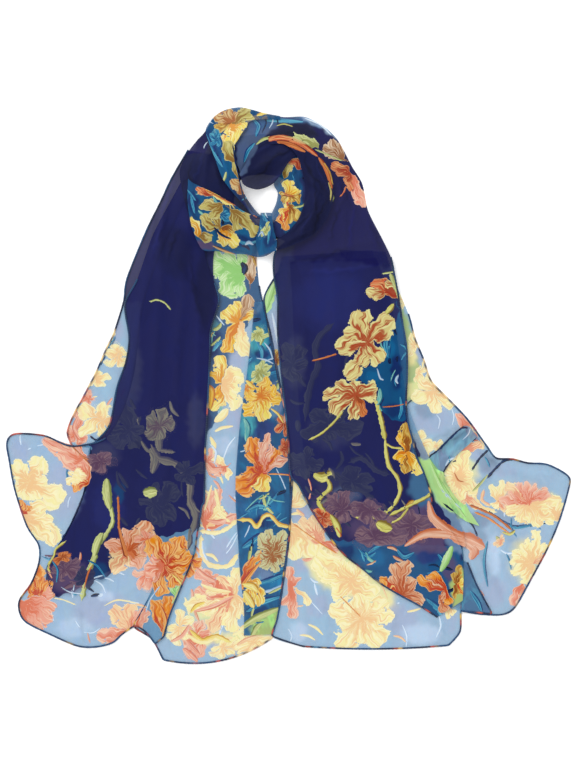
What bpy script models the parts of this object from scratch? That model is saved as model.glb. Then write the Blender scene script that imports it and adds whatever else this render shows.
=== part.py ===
"""A chiffon scarf laid out on a flat surface: a small wound ring at the top, two tails spread below.

Metres, +Z up. +Y points from the tails to the ring, +X to the right as seen from above, and the
origin is on the surface, under the middle of the whole scarf. The tables are in millimetres.

Every stretch of cloth that shows is one thin wall. It is a grid whose cross lines follow a short
table of sections, laid on what is already there: each point rests on the highest thing near it.
"""

import math
from collections import namedtuple

import bmesh
import bpy
from mathutils import Vector
from mathutils.bvhtree import BVHTree

MM = 0.001

WALL = 1.3          # mm, the cloth's wall; real chiffon is thinner, but a solid needs some
SEAM_GAP = 0.35     # mm, between one layer and the next
TAIL_CELL = 26.0    # mm, grid spacing at the widest of a flat tail
RING_CELL = 9.0     # mm, grid spacing in the folded ring
LEAST_CELL = 9.5    # mm, along any sheet
REACH = 0.8         # of a grid cell: how far round itself a point looks for higher ground
STEEPEST = 1.0      # rise per run that draped cloth keeps over an edge
LIFT_STEP = 0.3     # mm, how far a point is raised each time its layer still cuts a lower one
MOST_LIFTS = 60
PROBES = 12         # directions in which a point looks for higher ground
SIDE_TENSION = 0.42 # of the chord between neighbours, how strongly the side lines are rounded
SKY = 1.0           # m, rays start here and go down

# The ring's middle is an eye through which the surface shows.
EYE_X, EYE_Y = -32.5, 230.0     # mm
CORE_STATIONS = 36
CORE_SIDES = 12

# One row per direction from the eye's centre, anticlockwise from +X.
Core = namedtuple("Core", "angle inner outer height")
CORE = [
    Core(0, 32, 72, 14),
    Core(45, 36, 92, 13),
    Core(90, 30, 82, 13),
    Core(135, 36, 88, 12),
    Core(180, 34, 84, 13),
    Core(225, 32, 68, 13),
    Core(270, 30, 48, 9),
    Core(315, 31, 56, 12),
]

# One row per section across the cloth: its two ends, and how far its middle bows onward.
Section = namedtuple("Section", "left_x left_y right_x right_y bow", defaults=(0,))

# One row per fold: where it runs over the grid (0 to 1 across and along), its height and width in mm.
Fold = namedtuple("Fold", "across_from across_to along_from along_to height width")

Sheet = namedtuple("Sheet", "name colour cell sections folds")

NAVY = (0.012, 0.016, 0.100)
DEEP_NAVY = (0.008, 0.009, 0.060)
TEAL = (0.010, 0.100, 0.280)
PALE_BLUE = (0.360, 0.460, 0.700)
YELLOW = (0.850, 0.720, 0.300)
GREEN = (0.350, 0.720, 0.250)

# Lowest first: the order in which the stretches lie on each other.
SHEETS = [
    Sheet("middle_fall", PALE_BLUE, TAIL_CELL, [
        Section(-99, 193, -32, 188),
        Section(-109, 168, -39, 166),
        Section(-137, 131, -36, 124),
        Section(-169, 88, -30, 94),
        Section(-184, 44, -20, 47),
        Section(-181, -8, -10, -5),
        Section(-175, -45, -3, -43),
        Section(-171, -92, 2, -90),
        Section(-163, -142, 3, -136),
        Section(-161, -198, 1, -186),
        Section(-166, -247, -5, -235),
        Section(-184, -284, -10, -272),
        Section(-191, -299, -15, -293),
        Section(-169, -314, -18, -306, 11),
        Section(-155, -340, -20, -313, 15),
    ], [
        Fold(0.75, 0.70, 0.10, 0.60, 3.0, 40),
    ]),
    Sheet("middle_fold", TEAL, TAIL_CELL, [
        Section(-42, 104, -30, 104),
        Section(-45, 68, -24, 68),
        Section(-51, 17, -14, 17),
        Section(-56, -20, -6, -23),
        Section(-60, -49, -1, -53),
        Section(-65, -110, 2, -110),
        Section(-65, -148, 3, -148),
        Section(-62, -195, 0, -191),
        Section(-60, -229, -5, -229),
        Section(-55, -276, -10, -266),
        Section(-55, -310, -18, -308),
    ], []),
    Sheet("left_corner", PALE_BLUE, TAIL_CELL, [
        Section(-124, 292, -80, 282),
        Section(-145, 256, -92, 248),
        Section(-158, 228, -102, 218),
        Section(-178, 187, -114, 176),
        Section(-200, 132, -129, 125),
        Section(-204, 104, -139, 99),
        Section(-216, 65, -149, 64),
        Section(-225, 47, -156, 44),
        Section(-238, 17, -164, 14),
        Section(-253, -12, -171, -18),
        Section(-266, -36, -181, -43),
        Section(-274, -58, -191, -60),
        Section(-268, -75, -211, -77),
    ], []),
    Sheet("left_under", NAVY, TAIL_CELL, [
        Section(-117, 280, -65, 265),
        Section(-147, 226, -75, 212),
        Section(-168, 186, -92, 163),
        Section(-187, 132, -92, 119),
        Section(-202, 101, -90, 91),
        Section(-197, 59, -98, 57),
        Section(-201, 29, -99, 24),
        Section(-212, -2, -101, -8),
        Section(-222, -50, -103, -48),
        Section(-245, -77, -103, -77),
        Section(-247, -100, -104, -102),
        Section(-256, -144, -106, -129),
        Section(-276, -184, -107, -148),
        Section(-297, -220, -108, -160),
        Section(-299, -236, -109, -168),
        Section(-290, -263, -109, -175),
    ], []),
    Sheet("left_front", NAVY, TAIL_CELL, [
        Section(-109, 274, -62, 267),
        Section(-129, 226, -77, 213),
        Section(-150, 181, -103, 168),
        Section(-170, 131, -91, 127),
        Section(-180, 94, -86, 104),
        Section(-185, 57, -96, 69),
        Section(-191, 13, -97, 40),
        Section(-204, -30, -99, -5),
        Section(-226, -65, -101, -45),
        Section(-268, -75, -103, -85),
        Section(-303, -62, -104, -143),
        Section(-340, -60, -106, -146),
        Section(-349, -71, -107, -150),
        Section(-346, -92, -108, -154),
        Section(-339, -129, -108, -158),
        Section(-324, -174, -109, -162),
        Section(-309, -198, -110, -167),
        Section(-309, -220, -110, -170),
        Section(-319, -246, -111, -174),
        Section(-334, -268, -112, -179),
        Section(-328, -291, -113, -186),
        Section(-294, -309, -114, -193),
        Section(-261, -323, -115, -201),
        Section(-238, -324, -117, -209),
        Section(-218, -319, -119, -215),
        Section(-208, -310, -123, -226),
        Section(-200, -304, -132, -248),
        Section(-189, -298, -141, -270),
        Section(-176, -306, -148, -288),
        Section(-165, -320, -154, -311),
    ], [
        Fold(0.30, 0.45, 0.00, 0.28, 4.0, 34),
        Fold(0.30, 0.42, 0.48, 0.66, 4.0, 44),
        Fold(0.45, 0.40, 0.66, 0.80, 3.5, 40),
    ]),
    Sheet("right_bottom", PALE_BLUE, TAIL_CELL, [
        Section(-8, 160, 104, 168),
        Section(-14, 139, 112, 146),
        Section(-30, 107, 120, 118),
        Section(-21, 60, 129, 70),
        Section(-12, 12, 136, 22),
        Section(-4, -32, 141, -24),
        Section(3, -74, 149, -67),
        Section(5, -117, 163, -105),
        Section(3, -154, 188, -142),
        Section(1, -191, 211, -179),
        Section(-4, -229, 217, -219),
        Section(-9, -263, 216, -253),
        Section(-14, -291, 214, -281),
        Section(-19, -312, 213, -305, 7),
        Section(16, -323, 199, -322, 4),
    ], []),
    Sheet("right_wing", PALE_BLUE, TAIL_CELL, [
        Section(64, 168, 121, 166),
        Section(70, 131, 134, 126),
        Section(79, 91, 149, 89),
        Section(87, 57, 157, 59),
        Section(94, 22, 168, 32),
        Section(101, -12, 177, 6),
        Section(109, -40, 199, -17),
        Section(116, -65, 220, -39),
        Section(124, -86, 235, -59),
        Section(130, -102, 247, -76),
        Section(136, -117, 258, -90),
        Section(141, -129, 278, -91),
        Section(146, -142, 297, -96),
        Section(150, -154, 322, -98),
        Section(154, -167, 348, -113),
        Section(158, -182, 347, -131),
        Section(163, -198, 336, -168),
        Section(170, -214, 321, -203),
        Section(176, -231, 300, -242),
        Section(183, -248, 281, -275),
        Section(188, -263, 265, -284),
        Section(193, -272, 235, -283),
        Section(198, -276, 214, -279),
    ], [
        Fold(0.55, 0.85, 0.48, 0.44, 4.0, 30),
        Fold(0.45, 0.80, 0.62, 0.74, 4.5, 40),
        Fold(0.70, 0.85, 0.50, 0.56, 3.5, 30),
    ]),
    Sheet("right_corner", TEAL, TAIL_CELL, [
        Section(217, -217, 222, -219),
        Section(216, -247, 234, -248),
        Section(214, -279, 253, -283),
    ], []),
    Sheet("wing_fold", TEAL, RING_CELL, [
        Section(175, -90, 191, -111),
        Section(188, -76, 203, -93),
        Section(203, -61, 217, -79),
        Section(217, -50, 233, -67),
        Section(225, -51, 243, -75),
    ], [
        Fold(0.50, 0.50, 0.00, 1.00, 2.5, 14),
    ]),
    Sheet("wing_pleat", GREEN, RING_CELL, [
        Section(168, -97, 192, -107),
        Section(176, -117, 197, -122),
        Section(189, -141, 208, -139),
        Section(206, -157, 223, -154),
        Section(220, -168, 237, -174),
    ], [
        Fold(0.60, 0.60, 0.00, 1.00, 2.5, 14),
    ]),
    Sheet("right_inner", NAVY, TAIL_CELL, [
        Section(2, 153, 109, 158),
        Section(5, 106, 124, 116),
        Section(7, 57, 134, 66),
        Section(11, 7, 141, 17),
        Section(15, -43, 151, -33),
        Section(20, -86, 168, -75),
        Section(27, -129, 188, -117),
        Section(42, -160, 203, -152),
        Section(59, -179, 216, -179),
        Section(72, -193, 220, -200),
    ], []),
    Sheet("right_front", NAVY, TAIL_CELL, [
        Section(-56, 255, -70, 290),
        Section(-51, 272, -65, 317),
        Section(-42, 287, -50, 341),
        Section(-32, 296, -30, 338),
        Section(-16, 297, -6, 333),
        Section(2, 292, 21, 333),
        Section(17, 282, 43, 322),
        Section(27, 270, 61, 305),
        Section(33, 252, 79, 272),
        Section(33, 235, 92, 250),
        Section(25, 215, 99, 217),
        Section(10, 190, 116, 183),
        Section(-15, 167, 127, 159),
        Section(-18, 141, 131, 140),
        Section(-13, 106, 135, 119),
        Section(-13, 66, 141, 81),
        Section(-10, 29, 147, 42),
        Section(-5, -18, 147, 7),
        Section(0, -64, 146, -24),
        Section(3, -110, 149, -49),
        Section(13, -123, 154, -67),
        Section(26, -149, 158, -87),
        Section(39, -170, 167, -106),
        Section(52, -189, 176, -132),
        Section(70, -210, 178, -148),
        Section(92, -227, 186, -164),
        Section(114, -245, 199, -177),
        Section(139, -260, 214, -201),
        Section(163, -273, 217, -235),
        Section(185, -287, 216, -266),
    ], [
        Fold(0.45, 0.45, 0.03, 0.36, 4.0, 18),
        Fold(0.75, 0.80, 0.10, 0.40, 3.5, 18),
        Fold(0.30, 0.42, 0.40, 0.62, 3.0, 36),
        Fold(0.85, 0.88, 0.42, 0.62, 3.0, 30),
    ]),
    Sheet("left_shoulder", NAVY, RING_CELL, [
        Section(-93, 332, -82, 327),
        Section(-104, 314, -82, 305),
        Section(-114, 303, -75, 280),
        Section(-128, 282, -67, 252),
        Section(-134, 265, -60, 235),
        Section(-132, 248, -52, 223),
        Section(-127, 225, -45, 210),
        Section(-119, 198, -37, 198),
    ], [
        Fold(0.45, 0.35, 0.05, 0.60, 3.5, 20),
        Fold(0.70, 0.62, 0.20, 0.75, 2.5, 16),
    ]),
    Sheet("crown", YELLOW, RING_CELL, [
        Section(-42, 205, -28, 207),
        Section(-51, 218, -37, 213),
        Section(-66, 235, -49, 228),
        Section(-75, 246, -56, 241),
        Section(-82, 257, -61, 260),
        Section(-90, 279, -65, 279),
        Section(-98, 300, -66, 296),
        Section(-102, 317, -62, 303),
        Section(-92, 333, -57, 312),
        Section(-78, 342, -52, 318),
        Section(-60, 345, -49, 326),
        Section(-45, 342, -41, 329),
        Section(-28, 337, -28, 330),
        Section(-10, 334, -10, 329),
    ], [
        Fold(0.55, 0.50, 0.00, 0.75, 3.5, 16),
    ]),
    Sheet("inner_fold", YELLOW, RING_CELL, [
        Section(1, 282, 15, 282),
        Section(-9, 264, 22, 265),
        Section(-18, 250, 28, 248),
        Section(-13, 239, 31, 233),
        Section(-15, 226, 28, 218),
        Section(-20, 214, 20, 203),
        Section(-21, 204, 10, 190),
        Section(-18, 186, 0, 176),
    ], [
        Fold(0.35, 0.35, 0.05, 0.90, 3.0, 16),
    ]),
    Sheet("inner_roll", DEEP_NAVY, RING_CELL, [
        Section(-60, 260, -56, 248),
        Section(-52, 274, -50, 244),
        Section(-42, 287, -39, 242),
        Section(-30, 297, -28, 245),
        Section(-16, 301, -18, 250),
        Section(-3, 300, -9, 260),
        Section(10, 293, 0, 274),
        Section(18, 285, 8, 282),
    ], [
        Fold(0.55, 0.50, 0.05, 0.95, 4.0, 20),
    ]),
    Sheet("right_wind", NAVY, RING_CELL, [
        Section(-23, 297, -25, 307),
        Section(-8, 298, -6, 309),
        Section(3, 292, 11, 304),
        Section(12, 280, 26, 295),
        Section(17, 265, 39, 282),
        Section(20, 250, 52, 264),
        Section(21, 235, 56, 243),
        Section(18, 219, 54, 223),
        Section(11, 203, 46, 203),
        Section(-1, 189, 31, 186),
        Section(-13, 181, 8, 174),
        Section(-20, 177, -13, 167),
    ], [
        Fold(0.50, 0.55, 0.05, 0.95, 4.5, 18),
    ]),
    Sheet("cross_band", YELLOW, RING_CELL, [
        Section(-123, 254, -124, 230),
        Section(-117, 249, -122, 212),
        Section(-107, 244, -117, 190),
        Section(-94, 238, -106, 168),
        Section(-81, 231, -87, 166),
        Section(-67, 223, -70, 163),
        Section(-55, 215, -52, 162),
        Section(-42, 210, -37, 159),
        Section(-30, 210, -26, 161),
        Section(-21, 209, -16, 167),
    ], [
        Fold(0.20, 0.30, 0.02, 0.95, 4.0, 18),
        Fold(0.50, 0.55, 0.10, 0.95, 4.0, 18),
        Fold(0.80, 0.78, 0.30, 0.95, 3.0, 16),
    ]),
    Sheet("pinch", TEAL, RING_CELL, [
        Section(-34, 213, -20, 213),
        Section(-36, 195, -18, 193),
        Section(-40, 177, -14, 177),
        Section(-36, 160, -15, 166),
    ], [
        Fold(0.50, 0.50, 0.00, 1.00, 3.5, 14),
    ]),
]


def clear_scene():
    for thing in list(bpy.data.objects):
        bpy.data.objects.remove(thing, do_unlink=True)


def cloth_material(name, colour):
    material = bpy.data.materials.new(name)
    material.use_nodes = True
    shader = material.node_tree.nodes["Principled BSDF"]
    shader.inputs["Base Color"].default_value = (*colour, 1.0)
    shader.inputs["Roughness"].default_value = 0.6
    shader.inputs["Metallic"].default_value = 0.0
    return material


def new_object(name, mesh, colour, collection):
    thing = bpy.data.objects.new(name, mesh)
    thing.data.materials.append(cloth_material(name + "_cloth", colour))
    collection.objects.link(thing)
    return thing


# ---- the hidden windings inside the ring

def core_at(angle):
    """The core's inner and outer radius and height in a direction, eased between the rows."""
    step = 360 / len(CORE)
    index, part = divmod(angle % 360, step)
    here, there = CORE[int(index)], CORE[(int(index) + 1) % len(CORE)]
    ease = 0.5 - 0.5 * math.cos(math.pi * part / step)
    return [a + (b - a) * ease for a, b in zip(here[1:], there[1:])]


def make_core(collection):
    """One closed ring round the eye, low and rounded in section, flat below."""
    bpy.ops.mesh.primitive_torus_add(
        major_segments=CORE_STATIONS, minor_segments=CORE_SIDES, major_radius=1.0, minor_radius=0.25
    )
    torus = bpy.context.object
    mesh = torus.data
    for point in mesh.vertices:
        turn = math.atan2(point.co.y, point.co.x)
        inner, outer, height = core_at(math.degrees(turn))
        from_ring = math.hypot(point.co.x, point.co.y) - 1.0
        side = math.atan2(point.co.z, from_ring)
        reach = (inner + outer) / 2 + (outer - inner) / 2 * math.cos(side)
        point.co = Vector((
            EYE_X + reach * math.cos(turn),
            EYE_Y + reach * math.sin(turn),
            height * max(math.sin(side), 0.0) ** 2,
        )) * MM
    bpy.data.objects.remove(torus, do_unlink=True)
    mesh.name = "ring_core"
    return new_object("ring_core", mesh, DEEP_NAVY, collection)


# ---- sheets of cloth

def rounded(points, at):
    """A point on the smooth line through the given points, at a place counted in points."""
    last = len(points) - 1
    i = min(int(at), last - 1)
    t = at - i
    p, q = points[i], points[i + 1]
    before, after = points[max(i - 1, 0)], points[min(i + 2, last)]
    leave, arrive = (q - before) * SIDE_TENSION, (after - p) * SIDE_TENSION
    return (
        p * (2 * t**3 - 3 * t**2 + 1) + leave * (t**3 - 2 * t**2 + t)
        + q * (3 * t**2 - 2 * t**3) + arrive * (t**3 - t**2)
    )


def width_of(section):
    return math.hypot(section.right_x - section.left_x, section.right_y - section.left_y)


def stations(sections, across_cells):
    """Places along the sheet, in sections, as far apart as its cells are wide there."""
    places = [0.0]
    for i, (here, there) in enumerate(zip(sections, sections[1:])):
        left = math.hypot(there.left_x - here.left_x, there.left_y - here.left_y)
        right = math.hypot(there.right_x - here.right_x, there.right_y - here.right_y)
        cell = max((width_of(here) + width_of(there)) / 2 / across_cells, LEAST_CELL)
        steps = max(1, round((left + right) / 2 / cell))
        places += [i + (k + 1) / steps for k in range(steps)]
    return places


def flat_point(sections, across, at):
    """Where a place on the sheet lies, seen from above, in mm."""
    left = rounded([Vector((s.left_x, s.left_y)) for s in sections], at)
    right = rounded([Vector((s.right_x, s.right_y)) for s in sections], at)
    i = min(int(at), len(sections) - 2)
    bow = sections[i].bow + (sections[i + 1].bow - sections[i].bow) * (at - i)
    chord = right - left
    onward = Vector((chord.y, -chord.x)).normalized()
    return left.lerp(right, across) + onward * bow * 4 * across * (1 - across)


def fold_height(folds, across, along, width):
    """How far the sheet's own folds raise it here, each fading out at its ends."""
    height = 0.0
    for fold in folds:
        if not fold.along_from <= along <= fold.along_to or fold.along_to == fold.along_from:
            continue
        share = (along - fold.along_from) / (fold.along_to - fold.along_from)
        centre = fold.across_from + (fold.across_to - fold.across_from) * share
        off = (across - centre) * width / (fold.width / 2)
        height = max(height, fold.height * math.exp(-2 * off * off) * math.sin(math.pi * share))
    return height


def highest_top(trees, x, y):
    top = None
    for low, high, tree in trees:
        if low.x <= x <= high.x and low.y <= y <= high.y:
            hit = tree.ray_cast(Vector((x, y, SKY)), Vector((0, 0, -1)))[0]
            if hit is not None and (top is None or hit.z > top):
                top = hit.z
    return top


def ground(trees, x, y, reach):
    """The underside's height over a place: clear of all that lies within reach."""
    rests = [highest_top(trees, x, y)]
    for ring in (0.5, 1.0):
        for k in range(PROBES):
            turn = 2 * math.pi * (k + ring) / PROBES
            rests.append(highest_top(
                trees, x + reach * ring * math.cos(turn), y + reach * ring * math.sin(turn)
            ))
    found = [z for z in rests if z is not None]
    return max(found) + SEAM_GAP * MM if found else 0.0


def limit_slope(mesh):
    """Raise points beside high ones, so that the cloth comes down at its steepest or gentler."""
    runs = []
    for face in mesh.polygons:
        corners = list(face.vertices)
        for i, a in enumerate(corners):
            for b in corners[i + 1:]:
                offset = mesh.vertices[a].co.xy - mesh.vertices[b].co.xy
                runs.append((a, b, STEEPEST * offset.length))
    changed = True
    while changed:
        changed = False
        for a, b, drop in runs:
            high, low = mesh.vertices[a].co, mesh.vertices[b].co
            if high.z < low.z:
                high, low = low, high
            if low.z < high.z - drop - 1e-7:
                low.z = high.z - drop
                changed = True


def tree_of(thing):
    bpy.context.view_layer.update()
    graph = bpy.context.evaluated_depsgraph_get()
    tree = BVHTree.FromObject(thing, graph)
    corners = [v.co for v in thing.evaluated_get(graph).data.vertices]
    low = Vector([min(c[i] for c in corners) for i in range(3)])
    high = Vector([max(c[i] for c in corners) for i in range(3)])
    return low, high, tree


def clear_of(thing, trees):
    """Raise the sheet's points where its wall still cuts a lower layer, until none does."""
    mesh = thing.data
    own = len(mesh.vertices)
    for _ in range(MOST_LIFTS):
        graph = bpy.context.evaluated_depsgraph_get()
        wall = thing.evaluated_get(graph).data
        low, high, tree = tree_of(thing)
        cutting = set()
        for other_low, other_high, other in trees:
            if other_low.x < high.x and low.x < other_high.x and other_low.y < high.y and low.y < other_high.y:
                cutting.update(pair[0] for pair in tree.overlap(other))
        if not cutting:
            return
        raised = {v % own for face in cutting for v in wall.polygons[face].vertices}
        for v in raised:
            mesh.vertices[v].co.z += LIFT_STEP * MM
        limit_slope(mesh)
        mesh.update()
        bpy.context.view_layer.update()
    raise RuntimeError(thing.name + " still cuts a layer below it")


def lay_sheet(sheet, trees, collection):
    """One stretch of cloth as an open grid, laid on the layers below and given its wall upwards."""
    across_cells = max(3, round(max(width_of(s) for s in sheet.sections) / sheet.cell))
    places = stations(sheet.sections, across_cells)
    along_cells = len(places) - 1
    grid = bmesh.new()
    bmesh.ops.create_grid(grid, x_segments=across_cells, y_segments=along_cells, size=0.5)
    mesh = bpy.data.meshes.new(sheet.name)
    grid.to_mesh(mesh)
    grid.free()

    heights = []
    for point in mesh.vertices:
        across, along = point.co.x + 0.5, point.co.y + 0.5
        row = min(int(along * along_cells + 1e-6), along_cells - 1)
        part = along * along_cells - row
        at = places[row] + (places[row + 1] - places[row]) * part
        spot = flat_point(sheet.sections, across, at) * MM
        left, right = (flat_point(sheet.sections, side, at) for side in (0.0, 1.0))
        width = (right - left).length
        reach = REACH * max(width / across_cells, LEAST_CELL) * MM
        heights.append(fold_height(sheet.folds, across, along, width))
        point.co = Vector((spot.x, spot.y, ground(trees, spot.x, spot.y, reach)))
    limit_slope(mesh)
    for point, height in zip(mesh.vertices, heights):
        point.co.z += height * MM

    bend = bmesh.new()
    bend.from_mesh(mesh)
    bmesh.ops.recalc_face_normals(bend, faces=bend.faces)
    if sum(face.normal.z for face in bend.faces) < 0:
        bmesh.ops.reverse_faces(bend, faces=bend.faces)
    bend.to_mesh(mesh)
    bend.free()

    thing = new_object(sheet.name, mesh, sheet.colour, collection)
    wall = thing.modifiers.new("Wall", "SOLIDIFY")
    wall.thickness = WALL * MM
    wall.offset = 1.0
    mesh.shade_smooth()
    bpy.context.view_layer.update()
    clear_of(thing, trees)
    return thing


def main():
    clear_scene()
    scarf = bpy.data.collections.new("silk_scarf")
    bpy.context.scene.collection.children.link(scarf)
    trees = [tree_of(make_core(scarf))]
    for sheet in SHEETS:
        trees.append(tree_of(lay_sheet(sheet, trees, scarf)))


main()
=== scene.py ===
"""The looks of the chiffon scarf: sheer printed cloth laid out round a small wound ring.

Every stretch of the scarf is one fine open grid on the form of its solid, with its own creases.
The print is drawn by shader nodes. Each sheet's face corners say where they are in the nearest
flower and the nearest brush stroke, and the nodes draw the petals, veins and outlines from that.

Sections are in millimetres in the part's own frame. Creases, patches, flowers and strokes are in
plan units of 1.24 mm, counted right and down from a point left of and beyond the ring.

The tables are written a row to a line. A line that ends in a colon names the sheets of the
rows below it, and a line that starts with a space goes on with the row above it.
"""

import math
from collections import namedtuple

import bpy
import numpy as np
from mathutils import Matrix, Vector
from mathutils.bvhtree import BVHTree

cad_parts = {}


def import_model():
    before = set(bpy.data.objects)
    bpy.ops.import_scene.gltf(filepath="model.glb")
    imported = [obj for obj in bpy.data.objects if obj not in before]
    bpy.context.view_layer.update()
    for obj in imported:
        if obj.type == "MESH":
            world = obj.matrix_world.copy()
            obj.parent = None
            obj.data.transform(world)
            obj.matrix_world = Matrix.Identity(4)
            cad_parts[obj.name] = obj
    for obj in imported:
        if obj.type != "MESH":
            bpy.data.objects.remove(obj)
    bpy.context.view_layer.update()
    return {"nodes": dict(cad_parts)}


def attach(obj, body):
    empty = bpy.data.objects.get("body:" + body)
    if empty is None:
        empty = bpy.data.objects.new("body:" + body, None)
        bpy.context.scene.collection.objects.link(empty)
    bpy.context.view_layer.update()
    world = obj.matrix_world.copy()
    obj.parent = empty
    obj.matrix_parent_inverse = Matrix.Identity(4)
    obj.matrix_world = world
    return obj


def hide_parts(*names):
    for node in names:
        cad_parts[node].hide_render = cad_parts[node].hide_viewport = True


MM = 0.001
PLAN_MM = 1.24                   # mm for one plan unit
PLAN_X, PLAN_Y = 288.2, 385.6    # the plan's place of the part's origin

TAIL_CELL = 1.9                  # mm, grid spacing in the tails
RING_CELL = 1.6                  # mm, grid spacing in the ring
SMOOTHING = {TAIL_CELL: 60, RING_CELL: 16}   # passes that even out the solid's facets
SOLID_WALL = 1.3                 # mm, the solids' wall
LAYER_GAP = 0.3                  # mm, between one layer and the next
LEAST_Z = 0.25                   # mm, the cloth's height where it lies on the floor
UNEVEN = {TAIL_CELL: 0.5, RING_CELL: 0.2}    # mm, its slow rise and fall
SWELL_WAVES, SWELL_LENGTH, SWELL_STEP = 5, 34, 13   # how many, the first's mm, mm to the next
SIDE_TENSION = 0.42              # of the chord, how strongly the side lines are rounded
SKY = 1.0                        # m, rays start here and go down
BESIDE_Z = 0.02                  # m, where the nearest wall is looked for beside a solid

HEM_RADIUS = 1.05                # mm
HEM_SIDES = 8
HEM_STEP = 1.2                   # mm, the least from one ring of the hem's points to the next
HEM_LIFT = 0.25                  # mm, the hem's middle over the edge
HEM_FLOOR = 0.05                 # mm, the least gap under the hem
HEM_STITCH = 2.2                 # mm, from one whipping stitch to the next
HEM_SWELL = 0.10                 # of its radius, how far the whipping makes it rise and fall
CORE_STATIONS, CORE_SIDES = 150, 40

CRISP = 3.0                      # mm, a patch with a blur under this has a drawn edge
DRAWN_RAMP = 4.0                 # mm, how fast its inner ground starts, outside the edge
SPOT_EDGE, SPOT_BLUR = 1.15, 0.6  # of a spot's half-width, where its colour ends, and its blur
FAR = 9.0                        # a motif's own measure, for a place that no motif is near
BLOOM_REACH, TWIG_REACH = 1.5, 3.0           # in that measure, how far out a motif is stored
TWIG_ROOM = 3.0                  # mm, how much farther the strokes are looked for

PETAL_WIDER = 1.15               # how much wider a flower's petals are than written
BETWEEN_OUT, BETWEEN_WIDTH = 0.86, 0.42      # the petal between two others, as shares of them
BETWEEN_LEAST, BETWEEN_MOST = 0.3, 1.6       # radians between the two for there to be one
PETAL_BEND = 0.10                # of its length, how far a petal's middle bends aside at most

LIGHT = 1.25                     # what a white surface sends back here, for working out dyes
FLOOR_SHADE, FLOOR_GLOW, FLOOR_HALF = 0.95, 0.22, 4.0   # its half-width in m
ROOM_COLOUR, ROOM_STRENGTH = (0.97, 0.985, 1.0, 1), 0.80
LAMP_STRENGTH, LAMP_SIZE, LAMP_TURN = 1.45, 0.7, (-34, -30, 0)   # radians across, degrees
CAMERA_PLAN, CAMERA_HEIGHT = (288, 384), 2.25            # m
CAMERA_LENS, CAMERA_SENSOR = 85, 36                      # mm
SEE_THROUGH = 24                 # how many layers of cloth a ray passes

RING_SHADE = 1.4                 # how much stronger the creases' shades are in the ring
CREASE_COVER = 0.6               # how much denser the cloth is in a dark crease, for its shade

WARP_SCALE, FRILL_SCALE = 44.0, 210.0        # the noises that bend and fray the motifs, per metre
TONE_SCALE, SLUB_SCALE, WEAVE_SCALE = 46.0, 340.0, 1500.0
BUMP_DEPTH = 0.0004              # m
MOTIF_EDGE = 1.03                # in a motif's own measure, where its colour ends
SEED_SPREAD = 61.0               # how far apart the seeds of motifs are
SHEEN_TINT, THREAD_TINT = (0.62, 0.70, 1.0, 1), (0.30, 0.38, 0.55, 1)


# ---------------------------------------------------------------- written tables

def value(word):
    """A name as it is, a number, or a tuple of them where commas join several."""
    parts = [float(part) if part[0] in "-.0123456789" else part for part in word.split(",")]
    return parts[0] if len(parts) == 1 else tuple(parts)


def rows_of(text):
    """A written table's rows, each with the names of its sheets before its values."""
    sheets, rows = "", []
    for line in text.strip("\n").split("\n"):
        if line.endswith(":"):
            sheets = line[:-1]
        elif line.startswith(" "):
            rows[-1] += map(value, line.split())
        else:
            rows.append([sheets, *map(value, line.split())])
    return rows


def on(name, rows):
    """The rows of a table that belong to a sheet."""
    return [row for row in rows if name in row.sheets.split()]


# ---------------------------------------------------------------- the print's tables

Ground = namedtuple("Ground", "seen cover over")
# seen: how it looks in place, 0 to 255; cover: its share of what is below; over: what is below.
UNDER = {"navy": (28, 32, 88), "pale": (165, 185, 222), "teal": (25, 90, 145)}
# deep is the hidden ring core's dark navy and also the colour of the painted shadow patches.
GROUNDS = {row[1]: Ground(*row[2:]) for row in rows_of("""
navy 28,32,90 0.93 navy
deep 17,21,56 0.97 navy
night 22,27,70 0.95 navy
dim 76,94,130 0.9 navy
pewter 80,100,138 0.9 floor
dusk 38,46,116 0.93 navy
plum 92,74,112 0.9 navy
smoke 70,74,106 0.92 navy
sheer_navy 62,64,104 0.86 floor
lavender 168,181,206 0.62 floor
sky 162,188,210 0.62 floor
alone 30,33,84 0.95 floor
mist 196,212,232 0.54 floor
slate 100,136,176 0.8 pale
teal 44,107,152 0.86 pale
ocean 20,62,112 0.93 pale
bright 52,128,178 0.84 pale
haze 132,158,192 0.78 pale
meadow 186,206,140 0.86 pale
aqua 96,176,196 0.8 pale
leafy 190,232,166 0.84 pale
butter 246,234,168 0.78 floor
peach 240,196,150 0.82 floor
""")}

Palette = namedtuple("Palette", "petal core rim vein cover over")
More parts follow.
